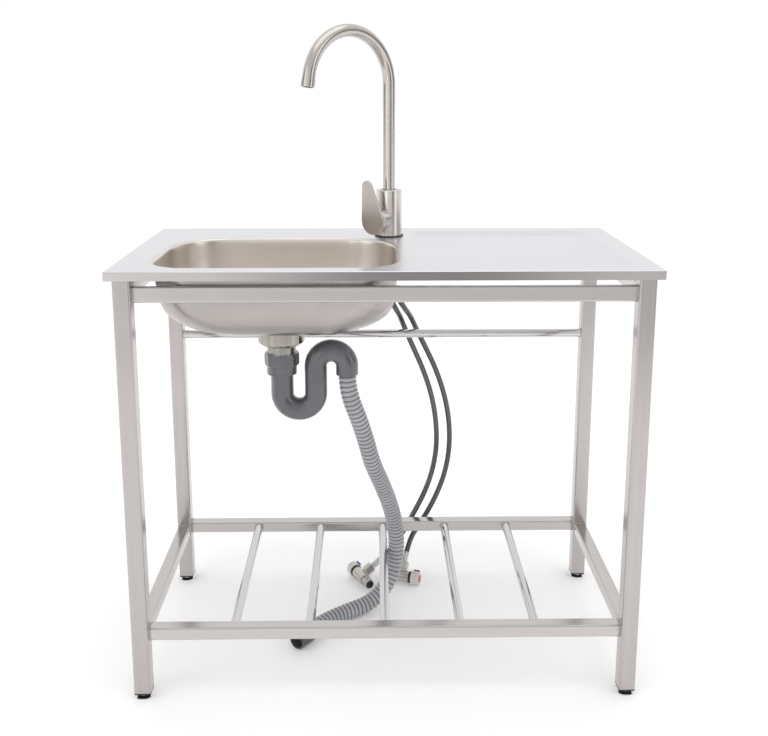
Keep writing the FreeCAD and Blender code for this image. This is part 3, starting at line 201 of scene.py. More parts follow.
def ribbed_hose():
    """The drain hose, with a rounded rib each pitch and a narrow root between."""
    line = hose_line("drain_hose_line", DRAIN_HOSE_ROUTE, DRAIN_HOSE_DIVISIONS)
    points, length = even_line(line, HOSE_RIB_PITCH / RINGS_PER_RIB)
    radii = []
    for index in range(len(points)):
        swell = 0.5 - 0.5 * math.cos(math.tau * index / RINGS_PER_RIB)
        radii.append(HOSE_ROOT_RADIUS + (HOSE_RIB_RADIUS - HOSE_ROOT_RADIUS) * swell ** RIB_SWELL_POWER)
    hose = hose_skin("drain_hose_ribbed", points, radii, DRAIN_HOSE_SIDES)
    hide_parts("drain_hose")
    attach(hose, "sink")
    return hose


def braided_hose(name, node, route):
    """A tap hose, whose fitting and valve on its far end are the part's own pieces."""
    line = hose_line(name + "_line", route, TAP_HOSE_DIVISIONS)
    points, length = even_line(line, TAP_HOSE_RING_STEP)
    hose = hose_skin(name, points, [TAP_HOSE_RADIUS] * len(points), TAP_HOSE_SIDES)
    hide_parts(node)
    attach(hose, "sink")
    return hose


drain_hose = ribbed_hose()
cold_hose = braided_hose("hose_cold_braided", "hose_cold", COLD_HOSE_ROUTE)
hot_hose = braided_hose("hose_hot_braided", "hose_hot", HOT_HOSE_ROUTE)


# Nodes of the materials

# Sockets of a Mix node that is set to colours
MIX_FACTOR, MIX_FIRST, MIX_SECOND, MIX_RESULT = 0, 6, 7, 2


def add_node(tree, kind, inputs=None, **settings):
    """A node with its settings; each of its inputs is a value, or a socket that is linked to it."""
    node = tree.nodes.new(kind)
    for name, value in settings.items():
        setattr(node, name, value)
    for name, value in (inputs or {}).items():
        if isinstance(value, bpy.types.NodeSocket):
            tree.links.new(value, node.inputs[name])
        else:
            node.inputs[name].default_value = value
    return node


def fresh_material(name):
    material = bpy.data.materials.new(name)
    material.use_nodes = True
    tree = material.node_tree
    return material, tree, tree.nodes["Principled BSDF"]


def worked(tree, operation, *values):
    """The result of one Math node on sockets and numbers."""
    return add_node(tree, "ShaderNodeMath", dict(enumerate(values)), operation=operation).outputs[0]


def spread(tree, source, low, high):
    """A value from 0 to 1 turned into one from low to high."""
    return add_node(tree, "ShaderNodeMapRange",
                    {"Value": source, "To Min": low, "To Max": high}).outputs["Result"]


def share_of(tree, source, low, high):
    """How far a value is on its way from low to high."""
    return add_node(tree, "ShaderNodeMapRange",
                    {"Value": source, "From Min": low, "From Max": high}).outputs["Result"]


def masked(tree, source, low, high):
    """A soft step of a value, from 0 at the low end to 1 at the high end."""
    return add_node(tree, "ShaderNodeMapRange", {"Value": source, "From Min": low, "From Max": high},
                    interpolation_type="SMOOTHSTEP").outputs["Result"]


def mixed(tree, factor, first, second):
    """The mix of two colours, each a red, green and blue or a socket."""
    ends = [end if isinstance(end, bpy.types.NodeSocket) else (*end, 1) for end in (first, second)]
    return add_node(tree, "ShaderNodeMix", {MIX_FACTOR: factor, MIX_FIRST: ends[0], MIX_SECOND: ends[1]},
                    data_type="RGBA").outputs[MIX_RESULT]


def split(tree, place):
    """The three parts of a place."""
    return add_node(tree, "ShaderNodeSeparateXYZ", {"Vector": place}).outputs


def stretched(tree, scale):
    """The place on the object, plain and stretched."""
    place = add_node(tree, "ShaderNodeTexCoord").outputs["Object"]
    return place, add_node(tree, "ShaderNodeMapping", {"Vector": place, "Scale": scale}).outputs["Vector"]


def bumped(tree, shader, height, strength, distance):
    bump = add_node(tree, "ShaderNodeBump", {"Height": height, "Strength": strength, "Distance": distance})
    tree.links.new(bump.outputs["Normal"], shader.inputs["Normal"])


# Shared effects

MARKS_STEP = (0.42, 0.72)


def effect_group(name, inputs, outputs):
    """A shader node group with named inputs and outputs, and its two end nodes."""
    tree = bpy.data.node_groups.new(name, "ShaderNodeTree")
    for label, kind in inputs.items():
        tree.interface.new_socket(label, in_out="INPUT", socket_type=kind)
    for label in outputs:
        tree.interface.new_socket(label, in_out="OUTPUT", socket_type="NodeSocketFloat")
    return tree, add_node(tree, "NodeGroupInput").outputs, add_node(tree, "NodeGroupOutput").inputs


def make_brushed_grain():
    """Fine parallel scratches: the coordinates come in already stretched along the grain."""
    tree, given, result = effect_group("brushed_grain", {"Vector": "NodeSocketVector"}, ("Grain", "Patches"))
    fine = add_node(tree, "ShaderNodeTexNoise",
                    {"Vector": given["Vector"], "Scale": 1.0, "Detail": 4.0, "Roughness": 0.65})
    broad = add_node(tree, "ShaderNodeTexNoise", {"Vector": given["Vector"], "Scale": 0.12, "Detail": 2.0})
    tree.links.new(fine.outputs["Fac"], result["Grain"])
    tree.links.new(broad.outputs["Fac"], result["Patches"])
    return tree


def make_handling_marks():
    """Soft cloudy marks left by wiping and handling."""
    tree, given, result = effect_group(
        "handling_marks", {"Vector": "NodeSocketVector", "Scale": "NodeSocketFloat"}, ("Marks",))
    cloud = add_node(tree, "ShaderNodeTexNoise",
                     {"Vector": given["Vector"], "Scale": given["Scale"], "Detail": 5.0, "Roughness": 0.6,
                      "Distortion": 0.8})
    tree.links.new(masked(tree, cloud.outputs["Fac"], *MARKS_STEP), result["Marks"])
    return tree


brushed_grain = make_brushed_grain()
handling_marks = make_handling_marks()


def grain_at(tree, place):
    return add_node(tree, "ShaderNodeGroup", {"Vector": place}, node_tree=brushed_grain).outputs


def marks_at(tree, place, scale):
    return add_node(tree, "ShaderNodeGroup", {"Vector": place, "Scale": scale},
                    node_tree=handling_marks).outputs["Marks"]


# Painted reflection and painted shade on one piece

WORKTOP_HALF = (0.5, 0.25)
WORKTOP_TOP = 0.85

# Where the painted reflection on the folded apron starts and is full: towards the edge, as a share of the
# half size, and below the top; then the middle of its darkest painted stretch, and how far from there it
# fades
APRON_EDGE_SHARES = (0.9930, 0.9965)
APRON_BELOW_TOP = (0.0008, 0.0018)
APRON_DARK_REFLECTION_PLACE = 0.07
APRON_DARK_REFLECTION_REACH = (0.04, 0.42)
# Tones of the painted dark reflection on the apron
APRON_DARK_REFLECTION_TONE = (0.27, 0.26, 0.255)
APRON_REFLECTION_TONE = (0.56, 0.54, 0.53)

# Painted shade on the outside of the bowl: its two tones and the scale of their cloud
UNDERSIDE_SHADE_DARK = (0.43, 0.40, 0.385)
UNDERSIDE_SHADE_LIGHT = (0.50, 0.465, 0.45)
UNDERSIDE_MARKS_SCALE = 7.0


def apron_painted_reflection(tree, place, tone):
    """Painted reflection: round the outer edge the apron is painted darker, most of all right of the middle.
    """
    parts = split(tree, place)
    shares = []
    for axis, half in zip("XY", WORKTOP_HALF):
        shares.append(worked(tree, "ABSOLUTE", worked(tree, "DIVIDE", parts[axis], half)))
    edge = masked(tree, worked(tree, "MAXIMUM", *shares), *APRON_EDGE_SHARES)
    below = masked(tree, worked(tree, "SUBTRACT", WORKTOP_TOP, parts["Z"]), *APRON_BELOW_TOP)
    aside = worked(tree, "ABSOLUTE", worked(tree, "SUBTRACT", parts["X"], APRON_DARK_REFLECTION_PLACE))
    # Painted dark reflection, strongest right of the middle
    painted_dark = mixed(tree, masked(tree, aside, *APRON_DARK_REFLECTION_REACH), APRON_DARK_REFLECTION_TONE, APRON_REFLECTION_TONE)
    return mixed(tree, worked(tree, "MULTIPLY", edge, below), tone, painted_dark)


def underside_painted_shade(tree, place, tone):
    """Painted shade: the outside of the bowl, marked in its mesh, is painted darker than the inside."""
    marked = add_node(tree, "ShaderNodeAttribute", attribute_name="underside")
    painted_dark = mixed(tree, marks_at(tree, place, UNDERSIDE_MARKS_SCALE), UNDERSIDE_SHADE_DARK, UNDERSIDE_SHADE_LIGHT)
    return mixed(tree, marked.outputs["Fac"], tone, painted_dark)


# Kinds of material

METAL_GRAIN_DEPTH = 0.0004
PLASTIC_SKIN_DEPTH = 0.0006
PLASTIC_MARKS_SCALE = 14.0
PLASTIC_COAT_ROUGHNESS = 0.12
BRAID_DEPTH = 0.0005
BRAID_BUMP = 0.03
BRAID_STRANDS = 12
BRAID_LEAN = 2200.0
BRAID_TONES = ((0.045, 0.044, 0.047), (0.22, 0.215, 0.22))
BRAID_ROUGH = (0.20, 0.09)
# Step and tone of the painted shade in the grooves between the ribs
RIB_GROOVE_SHADE_STEP = (0.25, 1.0)
RIB_TONES = ((0.36, 0.362, 0.385), (0.43, 0.432, 0.455))
RIB_GROOVE_SHADE_TONE = (0.13, 0.132, 0.145)
RIB_MARKS_SCALE = 12.0
RIB_ROUGH = (0.20, 0.32)
RIB_COAT = 0.3


def brushed_metal(name, dark, light, rough, scale, bump=0.05, marks=0.05, marks_scale=9.0, change=None):
    """Metal with a directional grain: scale stretches the grain along the short-numbered axis."""
    material, tree, shader = fresh_material(name)
    place, grain_place = stretched(tree, scale)
    grain = grain_at(tree, grain_place)
    tone = mixed(tree, grain["Patches"], dark, light)
    if change:
        tone = change(tree, place, tone)
    tree.links.new(tone, shader.inputs["Base Color"])
    wiped = spread(tree, marks_at(tree, place, marks_scale), 0, marks)
    tree.links.new(worked(tree, "ADD", spread(tree, grain["Grain"], *rough), wiped),
                   shader.inputs["Roughness"])
    shader.inputs["Metallic"].default_value = 1.0
    bumped(tree, shader, grain["Grain"], bump, METAL_GRAIN_DEPTH)
    return material


def moulded(name, dark, light, rough, scale, bump=0.08, coat=0.0):
    """Moulded plastic or rubber: slight cloud in the colour and a fine uneven skin."""
    material, tree, shader = fresh_material(name)
    place, fine_place = stretched(tree, (scale, scale, scale))
    skin = grain_at(tree, fine_place)["Grain"]
    tree.links.new(mixed(tree, marks_at(tree, place, PLASTIC_MARKS_SCALE), dark, light),
                   shader.inputs["Base Color"])
    tree.links.new(spread(tree, skin, *rough), shader.inputs["Roughness"])
    shader.inputs["Coat Weight"].default_value = coat
    shader.inputs["Coat Roughness"].default_value = PLASTIC_COAT_ROUGHNESS
    bumped(tree, shader, skin, bump, PLASTIC_SKIN_DEPTH)
    return material


def place_on_hose(tree):
    """How far along the hose and how far round it a point is, by the hose's own UV map."""
    parts = split(tree, add_node(tree, "ShaderNodeUVMap", uv_map="along_hose").outputs["UV"])
    return parts["X"], parts["Y"]


def braided_sleeve(name):
    """Crossed dark steel strands."""
    material, tree, shader = fresh_material(name)
    along, around = place_on_hose(tree)
    waves = []
    for way in (1, -1):
        lean = worked(tree, "MULTIPLY", along, BRAID_LEAN * way)
        turn = worked(tree, "MULTIPLY_ADD", around, math.tau * BRAID_STRANDS, lean)
        waves.append(worked(tree, "SINE", turn))
    height = share_of(tree, worked(tree, "MULTIPLY", *waves), -1, 1)
    tree.links.new(mixed(tree, height, *BRAID_TONES), shader.inputs["Base Color"])
    tree.links.new(spread(tree, height, *BRAID_ROUGH), shader.inputs["Roughness"])
    shader.inputs["Metallic"].default_value = 1.0
    bumped(tree, shader, height, BRAID_BUMP, BRAID_DEPTH)
    return material


def ribbed_plastic(name):
    """Glossy grey plastic, with painted shade in the grooves between the ribs."""
    material, tree, shader = fresh_material(name)
    along, _ = place_on_hose(tree)
    wave = worked(tree, "COSINE", worked(tree, "MULTIPLY", along, math.tau / HOSE_RIB_PITCH))
    # Painted shade in the grooves between the ribs
    groove_shade = masked(tree, wave, *RIB_GROOVE_SHADE_STEP)
    place = add_node(tree, "ShaderNodeTexCoord").outputs["Object"]
    marks = marks_at(tree, place, RIB_MARKS_SCALE)
    tree.links.new(mixed(tree, groove_shade, mixed(tree, marks, *RIB_TONES), RIB_GROOVE_SHADE_TONE),
                   shader.inputs["Base Color"])
    tree.links.new(spread(tree, marks, *RIB_ROUGH), shader.inputs["Roughness"])
    shader.inputs["Coat Weight"].default_value = RIB_COAT
    shader.inputs["Coat Roughness"].default_value = PLASTIC_COAT_ROUGHNESS
    return material


# Finishes: dark and light tone, range of roughness, and the scale of the grain along X, Y and Z

RAIL_TONES = ((0.535, 0.508, 0.495), (0.61, 0.582, 0.57))
TUBE_ROUGH = (0.16, 0.24)
LONG, FINE = 6.0, 900.0
ROUND_GRAIN = (LONG * 3, LONG * 3, FINE / 2)
SMALL_GRAIN = (60, 60, 60)
FINISHES = {
    # The worktop's apron carries a painted reflection, and the bowl's outside carries painted shade
    "worktop": brushed_metal("worktop_satin", (0.70, 0.69, 0.72), (0.78, 0.77, 0.80), (0.24, 0.34),
                             (LONG, FINE, FINE), bump=0.02, change=apron_painted_reflection),
    "bowl": brushed_metal("bowl_satin", (0.72, 0.675, 0.63), (0.78, 0.735, 0.69), (0.25, 0.33),
                          (LONG * 4, FINE / 2, FINE), bump=0.006, change=underside_painted_shade),
    "leg": brushed_metal("leg_satin", (0.465, 0.435, 0.42), (0.535, 0.505, 0.49), TUBE_ROUGH,
                         (FINE, FINE, LONG), bump=0.03),
    "rail_across": brushed_metal("rail_across_satin", *RAIL_TONES, TUBE_ROUGH, (LONG, FINE, FINE),
                                 bump=0.02),
    "rail_deep": brushed_metal("rail_deep_satin", *RAIL_TONES, TUBE_ROUGH, (FINE, LONG, FINE),
                               bump=0.02),
    "polished": brushed_metal("polished_tube", (0.60, 0.59, 0.59), (0.68, 0.67, 0.67), (0.05, 0.10),
                              (FINE / 3, LONG, FINE / 3), bump=0.01),
    "weld": brushed_metal("weld_bead", (0.40, 0.37, 0.35), (0.55, 0.51, 0.47), (0.24, 0.42),
                          (FINE / 2, FINE / 2, FINE / 2), bump=0.1, marks=0.1, marks_scale=60.0),
    "strainer": brushed_metal("strainer_polish", (0.64, 0.63, 0.62), (0.74, 0.73, 0.72), (0.12, 0.2),
                              (FINE / 4, FINE / 4, FINE / 4), bump=0.02),
    # The tap body's nickel is painted lighter than the same nickel on the spout and lever: painted light
    "barrel": brushed_metal("barrel_nickel_painted_lighter", (0.70, 0.66, 0.625), (0.75, 0.71, 0.675), (0.22, 0.27),
                            ROUND_GRAIN, bump=0.002, marks=0.03, marks_scale=20.0),
    "nickel": brushed_metal("brushed_nickel", (0.545, 0.51, 0.48), (0.585, 0.55, 0.52), (0.17, 0.21),
                            ROUND_GRAIN, bump=0.002, marks=0.03, marks_scale=20.0),
    "locknut": brushed_metal("locknut_nickel", (0.36, 0.335, 0.305), (0.46, 0.43, 0.395), (0.16, 0.26),
                             (LONG * 5, LONG * 5, FINE), marks_scale=25.0),
    "brass": brushed_metal("machined_brass", (0.50, 0.38, 0.18), (0.62, 0.49, 0.25), (0.2, 0.3),
                           (LONG * 5, LONG * 5, FINE)),
    "chrome": brushed_metal("chrome_plate", (0.68, 0.68, 0.69), (0.76, 0.76, 0.77), (0.04, 0.08),
                            SMALL_GRAIN, bump=0.01, marks=0.06, marks_scale=40.0),
    "valve": brushed_metal("valve_nickel", (0.50, 0.47, 0.435), (0.60, 0.565, 0.53), (0.20, 0.30),
                           SMALL_GRAIN, bump=0.02, marks=0.06, marks_scale=40.0),
    "gasket": moulded("gasket_rubber", (0.055, 0.05, 0.065), (0.09, 0.085, 0.10), (0.45, 0.6), scale=700),
    "black": moulded("black_moulding", (0.010, 0.010, 0.011), (0.022, 0.022, 0.024), (0.35, 0.5), scale=600),
    "trap": moulded("trap_plastic", (0.082, 0.084, 0.096), (0.105, 0.108, 0.122), (0.22, 0.30), scale=400,
                    bump=0.03, coat=1.0),
    "hose": ribbed_plastic("ribbed_plastic"),
    "cuff": moulded("cuff_rubber", (0.075, 0.075, 0.085), (0.105, 0.105, 0.115), (0.4, 0.5), scale=500),
    "knob": moulded("knob_plastic", (0.62, 0.62, 0.60), (0.72, 0.72, 0.70), (0.25, 0.35), scale=400,
                    bump=0.04, coat=0.3),
    "cold": moulded("cold_mark_plastic", (0.015, 0.06, 0.36), (0.025, 0.09, 0.48), (0.25, 0.35), scale=400,
                    bump=0.04, coat=0.4),
    "hot": moulded("hot_mark_plastic", (0.45, 0.012, 0.012), (0.58, 0.02, 0.02), (0.25, 0.35), scale=400,
                   bump=0.04, coat=0.4),
    "braid": braided_sleeve("braided_sleeve"),
}

SLATS = ["shelf_slat_%d" % number for number in range(1, 6)]
NODE_FINISH = {
    "worktop": "worktop", "bowl": "bowl", "strainer_body": "strainer", "strainer_basket": "strainer",
    "back_bar": "polished", "foot_plugs": "black", "tap_base_gasket": "gasket", "tap_body": "barrel",
    "tap_shank": "brass", "tap_fixing_washer": "black", "tap_fixing_nut": "brass", "spout_bush": "nickel",
    "tap_spout": "nickel", "aerator": "nickel", "cartridge": "black", "cartridge_nut": "brass",
    "cartridge_carrier": "black", "lever": "nickel", "lever_screw": "chrome", "waste_gasket": "gasket",
    "waste_locknut": "locknut", "trap_washer": "gasket", "trap_nut": "trap", "trap_bend": "trap",
    "hose_bush": "trap", "drain_hose": "hose", "drain_hose_cuff": "cuff", "hose_cold": "braid",
    "hose_hot": "braid", "hose_ferrules": "chrome", "hose_nuts": "valve",
}
for side in ("cold", "hot"):
    for piece, finish in zip(VALVE_PIECES, ("valve", "black", "knob", side)):
        NODE_FINISH["valve_%s_%s" % (side, piece)] = finish
for end in ("front", "rear"):
    NODE_FINISH["top_%s_rail" % end] = NODE_FINISH["shelf_%s_rail" % end] = "rail_across"
    for side in ("left", "right"):
        NODE_FINISH["leg_%s_%s" % (end, side)] = "leg"
        NODE_FINISH["levelling_foot_%s_%s" % (end, side)] = "chrome"
        NODE_FINISH["top_%s_rail" % side] = NODE_FINISH["shelf_%s_rail" % side] = "rail_deep"
for slat in SLATS:
    NODE_FINISH[slat] = "polished"


def dress(piece, finish):
    piece.data.materials.clear()
    piece.data.materials.append(FINISHES[finish])


for node, finish in NODE_FINISH.items():
    dress(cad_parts[node], finish)
dress(drain_hose, "hose")
dress(cold_hose, "braid")
dress(hot_hose, "braid")


# Ways of modelling a piece

# How much of a face's direction lies along the axis that it is chosen by
FACING = 0.99


def deselect_all():
    bpy.ops.object.select_all(action="DESELECT")


def edit(on=True):
    bpy.ops.object.mode_set(mode="EDIT" if on else "OBJECT")


def choose(kind, test):
    """In edit mode, selects the faces or edges of the active mesh that pass the test."""
    modes = {"edges": (False, True, False), "faces": (False, False, True)}
    bpy.context.tool_settings.mesh_select_mode = modes[kind]
    bpy.ops.mesh.select_all(action="DESELECT")
    mesh = bpy.context.object.data
    shape = bmesh.from_edit_mesh(mesh)
    for item in getattr(shape, kind):
        if test(item):
            item.select_set(True)
    shape.select_flush_mode()
    bmesh.update_edit_mesh(mesh)


def rise(side):
    """How far an edge climbs along Z."""
    return abs(side.verts[0].co.z - side.verts[1].co.z)


def activate(pieces):
    """Selects these pieces alone and makes the first of them the active one."""
    deselect_all()
    for piece in pieces:
        piece.select_set(True)
    bpy.context.view_layer.objects.active = pieces[0]


def apply_modifier(kind, **settings):
    piece = bpy.context.object
    modifier = piece.modifiers.new(kind.lower(), kind)
    for name, value in settings.items():
        setattr(modifier, name, value)
    bpy.ops.object.modifier_apply(modifier=modifier.name)


def finish_piece(name, body, finish, smooth=40):
    """Puts the active piece's place into its mesh and gives it its name, body and finish."""
    piece = bpy.context.object
    piece.name = name
    piece.data.name = name
    bpy.ops.object.transform_apply(location=True, rotation=True, scale=True)
    bpy.ops.object.shade_smooth_by_angle(angle=math.radians(smooth))
    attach(piece, body)
    dress(piece, finish)


def copies_of(model, places):
    """Copies the model, each with its own mesh, to the places, joins them and removes the model."""
    copies = []
    for place in places:
        mesh = model.data.copy()
        mesh.transform(place)
        copy = bpy.data.objects.new(model.name, mesh)
        scene.collection.objects.link(copy)
        copies.append(copy)
    bpy.data.objects.remove(model)
    activate(copies)
    bpy.ops.object.join()


def frame_at(place, ahead, side=None):
    """A frame whose Z runs ahead and whose X is as near to side as it can be."""
    ahead = Vector(ahead).normalized()
    side = Vector(side) if side else ahead.orthogonal()
    side = (side - ahead * side.dot(ahead)).normalized()
    turn = Matrix((side, ahead.cross(side), ahead)).transposed()
    return Matrix.Translation(place) @ turn.to_4x4()


def room_of(node):
    """A node's lowest and highest corners, and its middle."""
    low, high = (Vector(corner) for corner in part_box(node))
    return low, high, (low + high) / 2


# Bowl

BOWL_CENTRE = (-0.204, -0.051)
BOWL_HALF = (0.234, 0.166)
BOWL_SHEET = 0.001
BOWL_DRAIN = (-0.206, -0.051, 0.7022)
BOWL_DRAIN_RADIUS = 0.0387

# Radii of the front and rear corners at the rim, and how they grow with depth until the outline is an oval
BOWL_CORNERS = (0.074, 0.116)
BOWL_CORNER_INWARD_SHARE = 0.6
BOWL_OVAL_DEPTH = 0.145
BOWL_OVAL_POWER = 2.8
BOWL_OVAL_SHARE = 0.999
CORNER_STEPS = 14
SIDE_STEPS = 12

# Outlines of the inner face, each a level and how far in it is at the ends and at the sides
BOWL_OUTLINES = (
    (0.8500, 0.0000, 0.0000), (0.8500, 0.0016, 0.0016), (0.8494, 0.0034, 0.0034), (0.8476, 0.0052, 0.0052),
    (0.8445, 0.0062, 0.0062), (0.8380, 0.0067, 0.0067), (0.8200, 0.0074, 0.0074), (0.8000, 0.0083, 0.0083),
    (0.7840, 0.0095, 0.0095), (0.7700, 0.0113, 0.0112), (0.7580, 0.0140, 0.0138), (0.7480, 0.0178, 0.0172),
    (0.7390, 0.0230, 0.0218), (0.7300, 0.0305, 0.0280), (0.7220, 0.0400, 0.0355), (0.7150, 0.0530, 0.0450),
    (0.7095, 0.0710, 0.0570), (0.7055, 0.0940, 0.0720), (0.7034, 0.1250, 0.0900),
)


def rounded_outline(half_long, half_deep, front, rear):
    """Points round a rectangle whose two front corners and two rear corners have their own radii."""
    arcs = []
    corners = ((1, -1, front, -90), (1, 1, rear, 0), (-1, 1, rear, 90), (-1, -1, front, 180))
    for across, deep, radius, first in corners:
        hub = Vector((across * (half_long - radius), deep * (half_deep - radius)))
        angles = [math.radians(first + 90 * step / CORNER_STEPS) for step in range(CORNER_STEPS + 1)]
        arcs.append([hub + radius * Vector((math.cos(angle), math.sin(angle))) for angle in angles])
    points = []
    for arc, following in zip(arcs, arcs[1:] + arcs[:1]):
        points += arc
        points += [arc[-1].lerp(following[0], step / SIDE_STEPS) for step in range(1, SIDE_STEPS)]
    return points


def pressed_bowl():
    """The bowl with its true pressing: square at the rim, an oval dish at the floor."""
    corners = []
    for level, ends, sides in BOWL_OUTLINES:
        half_long, half_deep = BOWL_HALF[0] - ends, BOWL_HALF[1] - sides
        oval = min((BOWL_OUTLINES[0][0] - level) / BOWL_OVAL_DEPTH, 1) ** BOWL_OVAL_POWER
        radii = []
        for corner in BOWL_CORNERS:
            square = corner - sides * BOWL_CORNER_INWARD_SHARE
            radii.append(square + (half_deep * BOWL_OVAL_SHARE - square) * oval)
        for across, deep in rounded_outline(half_long, half_deep, *radii):
            corners.append((BOWL_CENTRE[0] + across, BOWL_CENTRE[1] + deep, level))
    around = len(corners) // len(BOWL_OUTLINES)
    for across, deep, _ in corners[-around:]:
        out = Vector((across - BOWL_DRAIN[0], deep - BOWL_DRAIN[1], 0)).normalized() * BOWL_DRAIN_RADIUS
        corners.append(Vector(BOWL_DRAIN) + out)
    mesh = bpy.data.meshes.new("bowl_pressed")
    mesh.from_pydata(corners, [], ring_faces(len(BOWL_OUTLINES) + 1, around))
    piece = bpy.data.objects.new("bowl_pressed", mesh)
    scene.collection.objects.link(piece)
    activate([piece])
    edit()
    bpy.ops.mesh.select_all(action="SELECT")
    bpy.ops.mesh.normals_make_consistent(inside=False)
    edit(False)
    facing = sum(face.normal.z * face.area for face in mesh.polygons)
    inner = len(mesh.vertices)
    apply_modifier("SOLIDIFY", thickness=BOWL_SHEET, offset=-1 if facing > 0 else 1, use_even_offset=True)
    underside = mesh.attributes.new("underside", "FLOAT", "POINT")
    for number, spot in enumerate(underside.data):
        spot.value = 0 if number < inner else 1
    apply_modifier("SUBSURF", levels=1, render_levels=1)
    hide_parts("bowl")
    finish_piece("bowl_pressed", "sink", "bowl", smooth=50)


# Weld beads and rail plugs of the stand

QUARTER_TURN = math.pi / 2
BEAD_RADIUS = 0.0014
BEAD_CUTS = 12
BEAD_RING_SIDES = 44
BEAD_RIPPLE_SIZE = 0.0022
BEAD_RIPPLE_DEPTH = 0.0009
TUBE_CORNER = 0.003
RAIL_PLUG_WALL = 0.0016
RAIL_PLUG_LENGTH = 0.006
RAIL_PLUG_CORNER = 0.0016
RAIL_PLUG_RIM = 0.003
RAIL_PLUG_RECESS = 0.0012
RAIL_PLUG_SINK = 0.0034


def bead_from_outline():
    """Turns the edges of the active flat outline into a bead."""
    edit()
    bpy.ops.mesh.select_all(action="SELECT")
    bpy.ops.mesh.delete(type="ONLY_FACE")
    choose("edges", lambda side: side.calc_length() > 2 * TUBE_CORNER)
    bpy.ops.mesh.subdivide(number_cuts=BEAD_CUTS)
    edit(False)
    bpy.ops.object.convert(target="CURVE")
    curve = bpy.context.object.data
    curve.bevel_depth = BEAD_RADIUS
    curve.bevel_resolution = 2
    bpy.ops.object.convert(target="MESH")
    return bpy.context.object


def square_bead(place, turn, long, deep):
    deselect_all()
    bpy.ops.mesh.primitive_plane_add(size=1, location=place, rotation=turn)
    bpy.context.object.scale = (long, deep, 1)
    bpy.ops.object.transform_apply(location=False, rotation=False, scale=True)
    edit()
    bpy.ops.mesh.select_all(action="SELECT")
    bpy.ops.mesh.bevel(offset=TUBE_CORNER, segments=3, affect="VERTICES")
    edit(False)
    return bead_from_outline()


def round_bead(place, turn, radius):
    deselect_all()
    bpy.ops.mesh.primitive_circle_add(vertices=BEAD_RING_SIDES, radius=radius, fill_type="NGON",
                                      location=place, rotation=turn)
    return bead_from_outline()


def weld_beads():
    """Rippled beads where rails, slats and back bar meet what carries them, joined into one piece."""
    beads = []
    for level in ("top", "shelf"):
        for end in ("front", "rear"):
            low, high, middle = room_of("%s_%s_rail" % (level, end))
            for across in (low.x, high.x):
                beads.append(square_bead((across, middle.y, middle.z), (0, QUARTER_TURN, 0),
                                         high.z - low.z, high.y - low.y))
        for side in ("left", "right"):
            low, high, middle = room_of("%s_%s_rail" % (level, side))
            for deep in (low.y, high.y):
                beads.append(square_bead((middle.x, deep, middle.z), (QUARTER_TURN, 0, 0),
                                         high.x - low.x, high.z - low.z))
    for slat in SLATS:
        low, high, middle = room_of(slat)
        for deep in (low.y, high.y):
            beads.append(round_bead((middle.x, deep, middle.z), (QUARTER_TURN, 0, 0), middle.x - low.x))
    low, high, middle = room_of("back_bar")
    for across in (low.x, high.x):
        beads.append(round_bead((across, middle.y, middle.z), (0, QUARTER_TURN, 0), middle.z - low.z))
    activate(beads)
    bpy.ops.object.join()
    bpy.ops.object.transform_apply(location=True, rotation=True, scale=True)
    ripple = bpy.data.textures.new("bead_ripple", "CLOUDS")
    ripple.noise_scale = BEAD_RIPPLE_SIZE
    apply_modifier("DISPLACE", texture=ripple, strength=BEAD_RIPPLE_DEPTH, mid_level=0.5,
                   texture_coords="LOCAL")
    finish_piece("stand_weld_beads", "sink", "weld", smooth=60)


def rail_plugs():
    """Plugs with a thumb recess that close the ends of the rear shelf rail, which stand clear of the legs."""
    low, high, middle = room_of("shelf_rear_rail")
    deselect_all()
    bpy.ops.mesh.primitive_cube_add(size=1)
    bpy.context.object.scale = (high.y - low.y - 2 * RAIL_PLUG_WALL, high.z - low.z - 2 * RAIL_PLUG_WALL,
                                RAIL_PLUG_LENGTH)
    bpy.ops.object.transform_apply(scale=True)
    edit()
    choose("edges", lambda side: rise(side) > RAIL_PLUG_LENGTH / 2)
    bpy.ops.mesh.bevel(offset=RAIL_PLUG_CORNER, segments=3)
    choose("faces", lambda face: face.normal.z > FACING)
    bpy.ops.mesh.inset(thickness=RAIL_PLUG_RIM)
    bpy.ops.mesh.extrude_region_move(TRANSFORM_OT_translate={"value": (0, 0, -RAIL_PLUG_RECESS)})
    edit(False)
    places = [frame_at((across - way * RAIL_PLUG_SINK, middle.y, middle.z), (way, 0, 0), (0, 1, 0))
              for across, way in ((low.x, -1), (high.x, 1))]
    copies_of(bpy.context.object, places)
    finish_piece("rail_plugs", "sink", "black", smooth=30)


# Plumbing: each valve has the start of its knob, its turn about Z and the tilt of its branch, in degrees

VALVES = {"cold": ((-0.074, 0.235, 0.0168), -62.4, 30), "hot": ((0.088, 0.176, 0.0168), 160, 40)}
UP = Vector((0, 0, 1))
KNOB_RADIUS = 0.0156
BRANCH_FROM_KNOB = 0.048
FERRULE_FROM_BRANCH = 0.034
THREAD_STEPS = 40
RIDGE_SIDES = 4
BAND_SIDES = 40
NECK_THREAD_FOOT = (-0.206, -0.051, 0.6462)
NECK_THREAD = {"radius": 0.0278, "length": 0.016, "ridge": 0.0008}
INLET_THREAD_FROM_KNOB = 0.0722
INLET_THREAD = {"radius": 0.0104, "length": 0.018, "ridge": 0.0007}
CRIMPS = 3
CRIMP_PITCH = 0.0065
CRIMP_FROM_TAP_END = 0.005
CRIMP_FROM_VALVE_END = 0.0055
CRIMP_BAND = {"radius": 0.0078, "height": 0.0034, "edge": 0.0011}
CUFF_RIDGE_REACHES = (-0.012, -0.006, 0.0)
CUFF_RIDGE_LEVEL = 0.0191
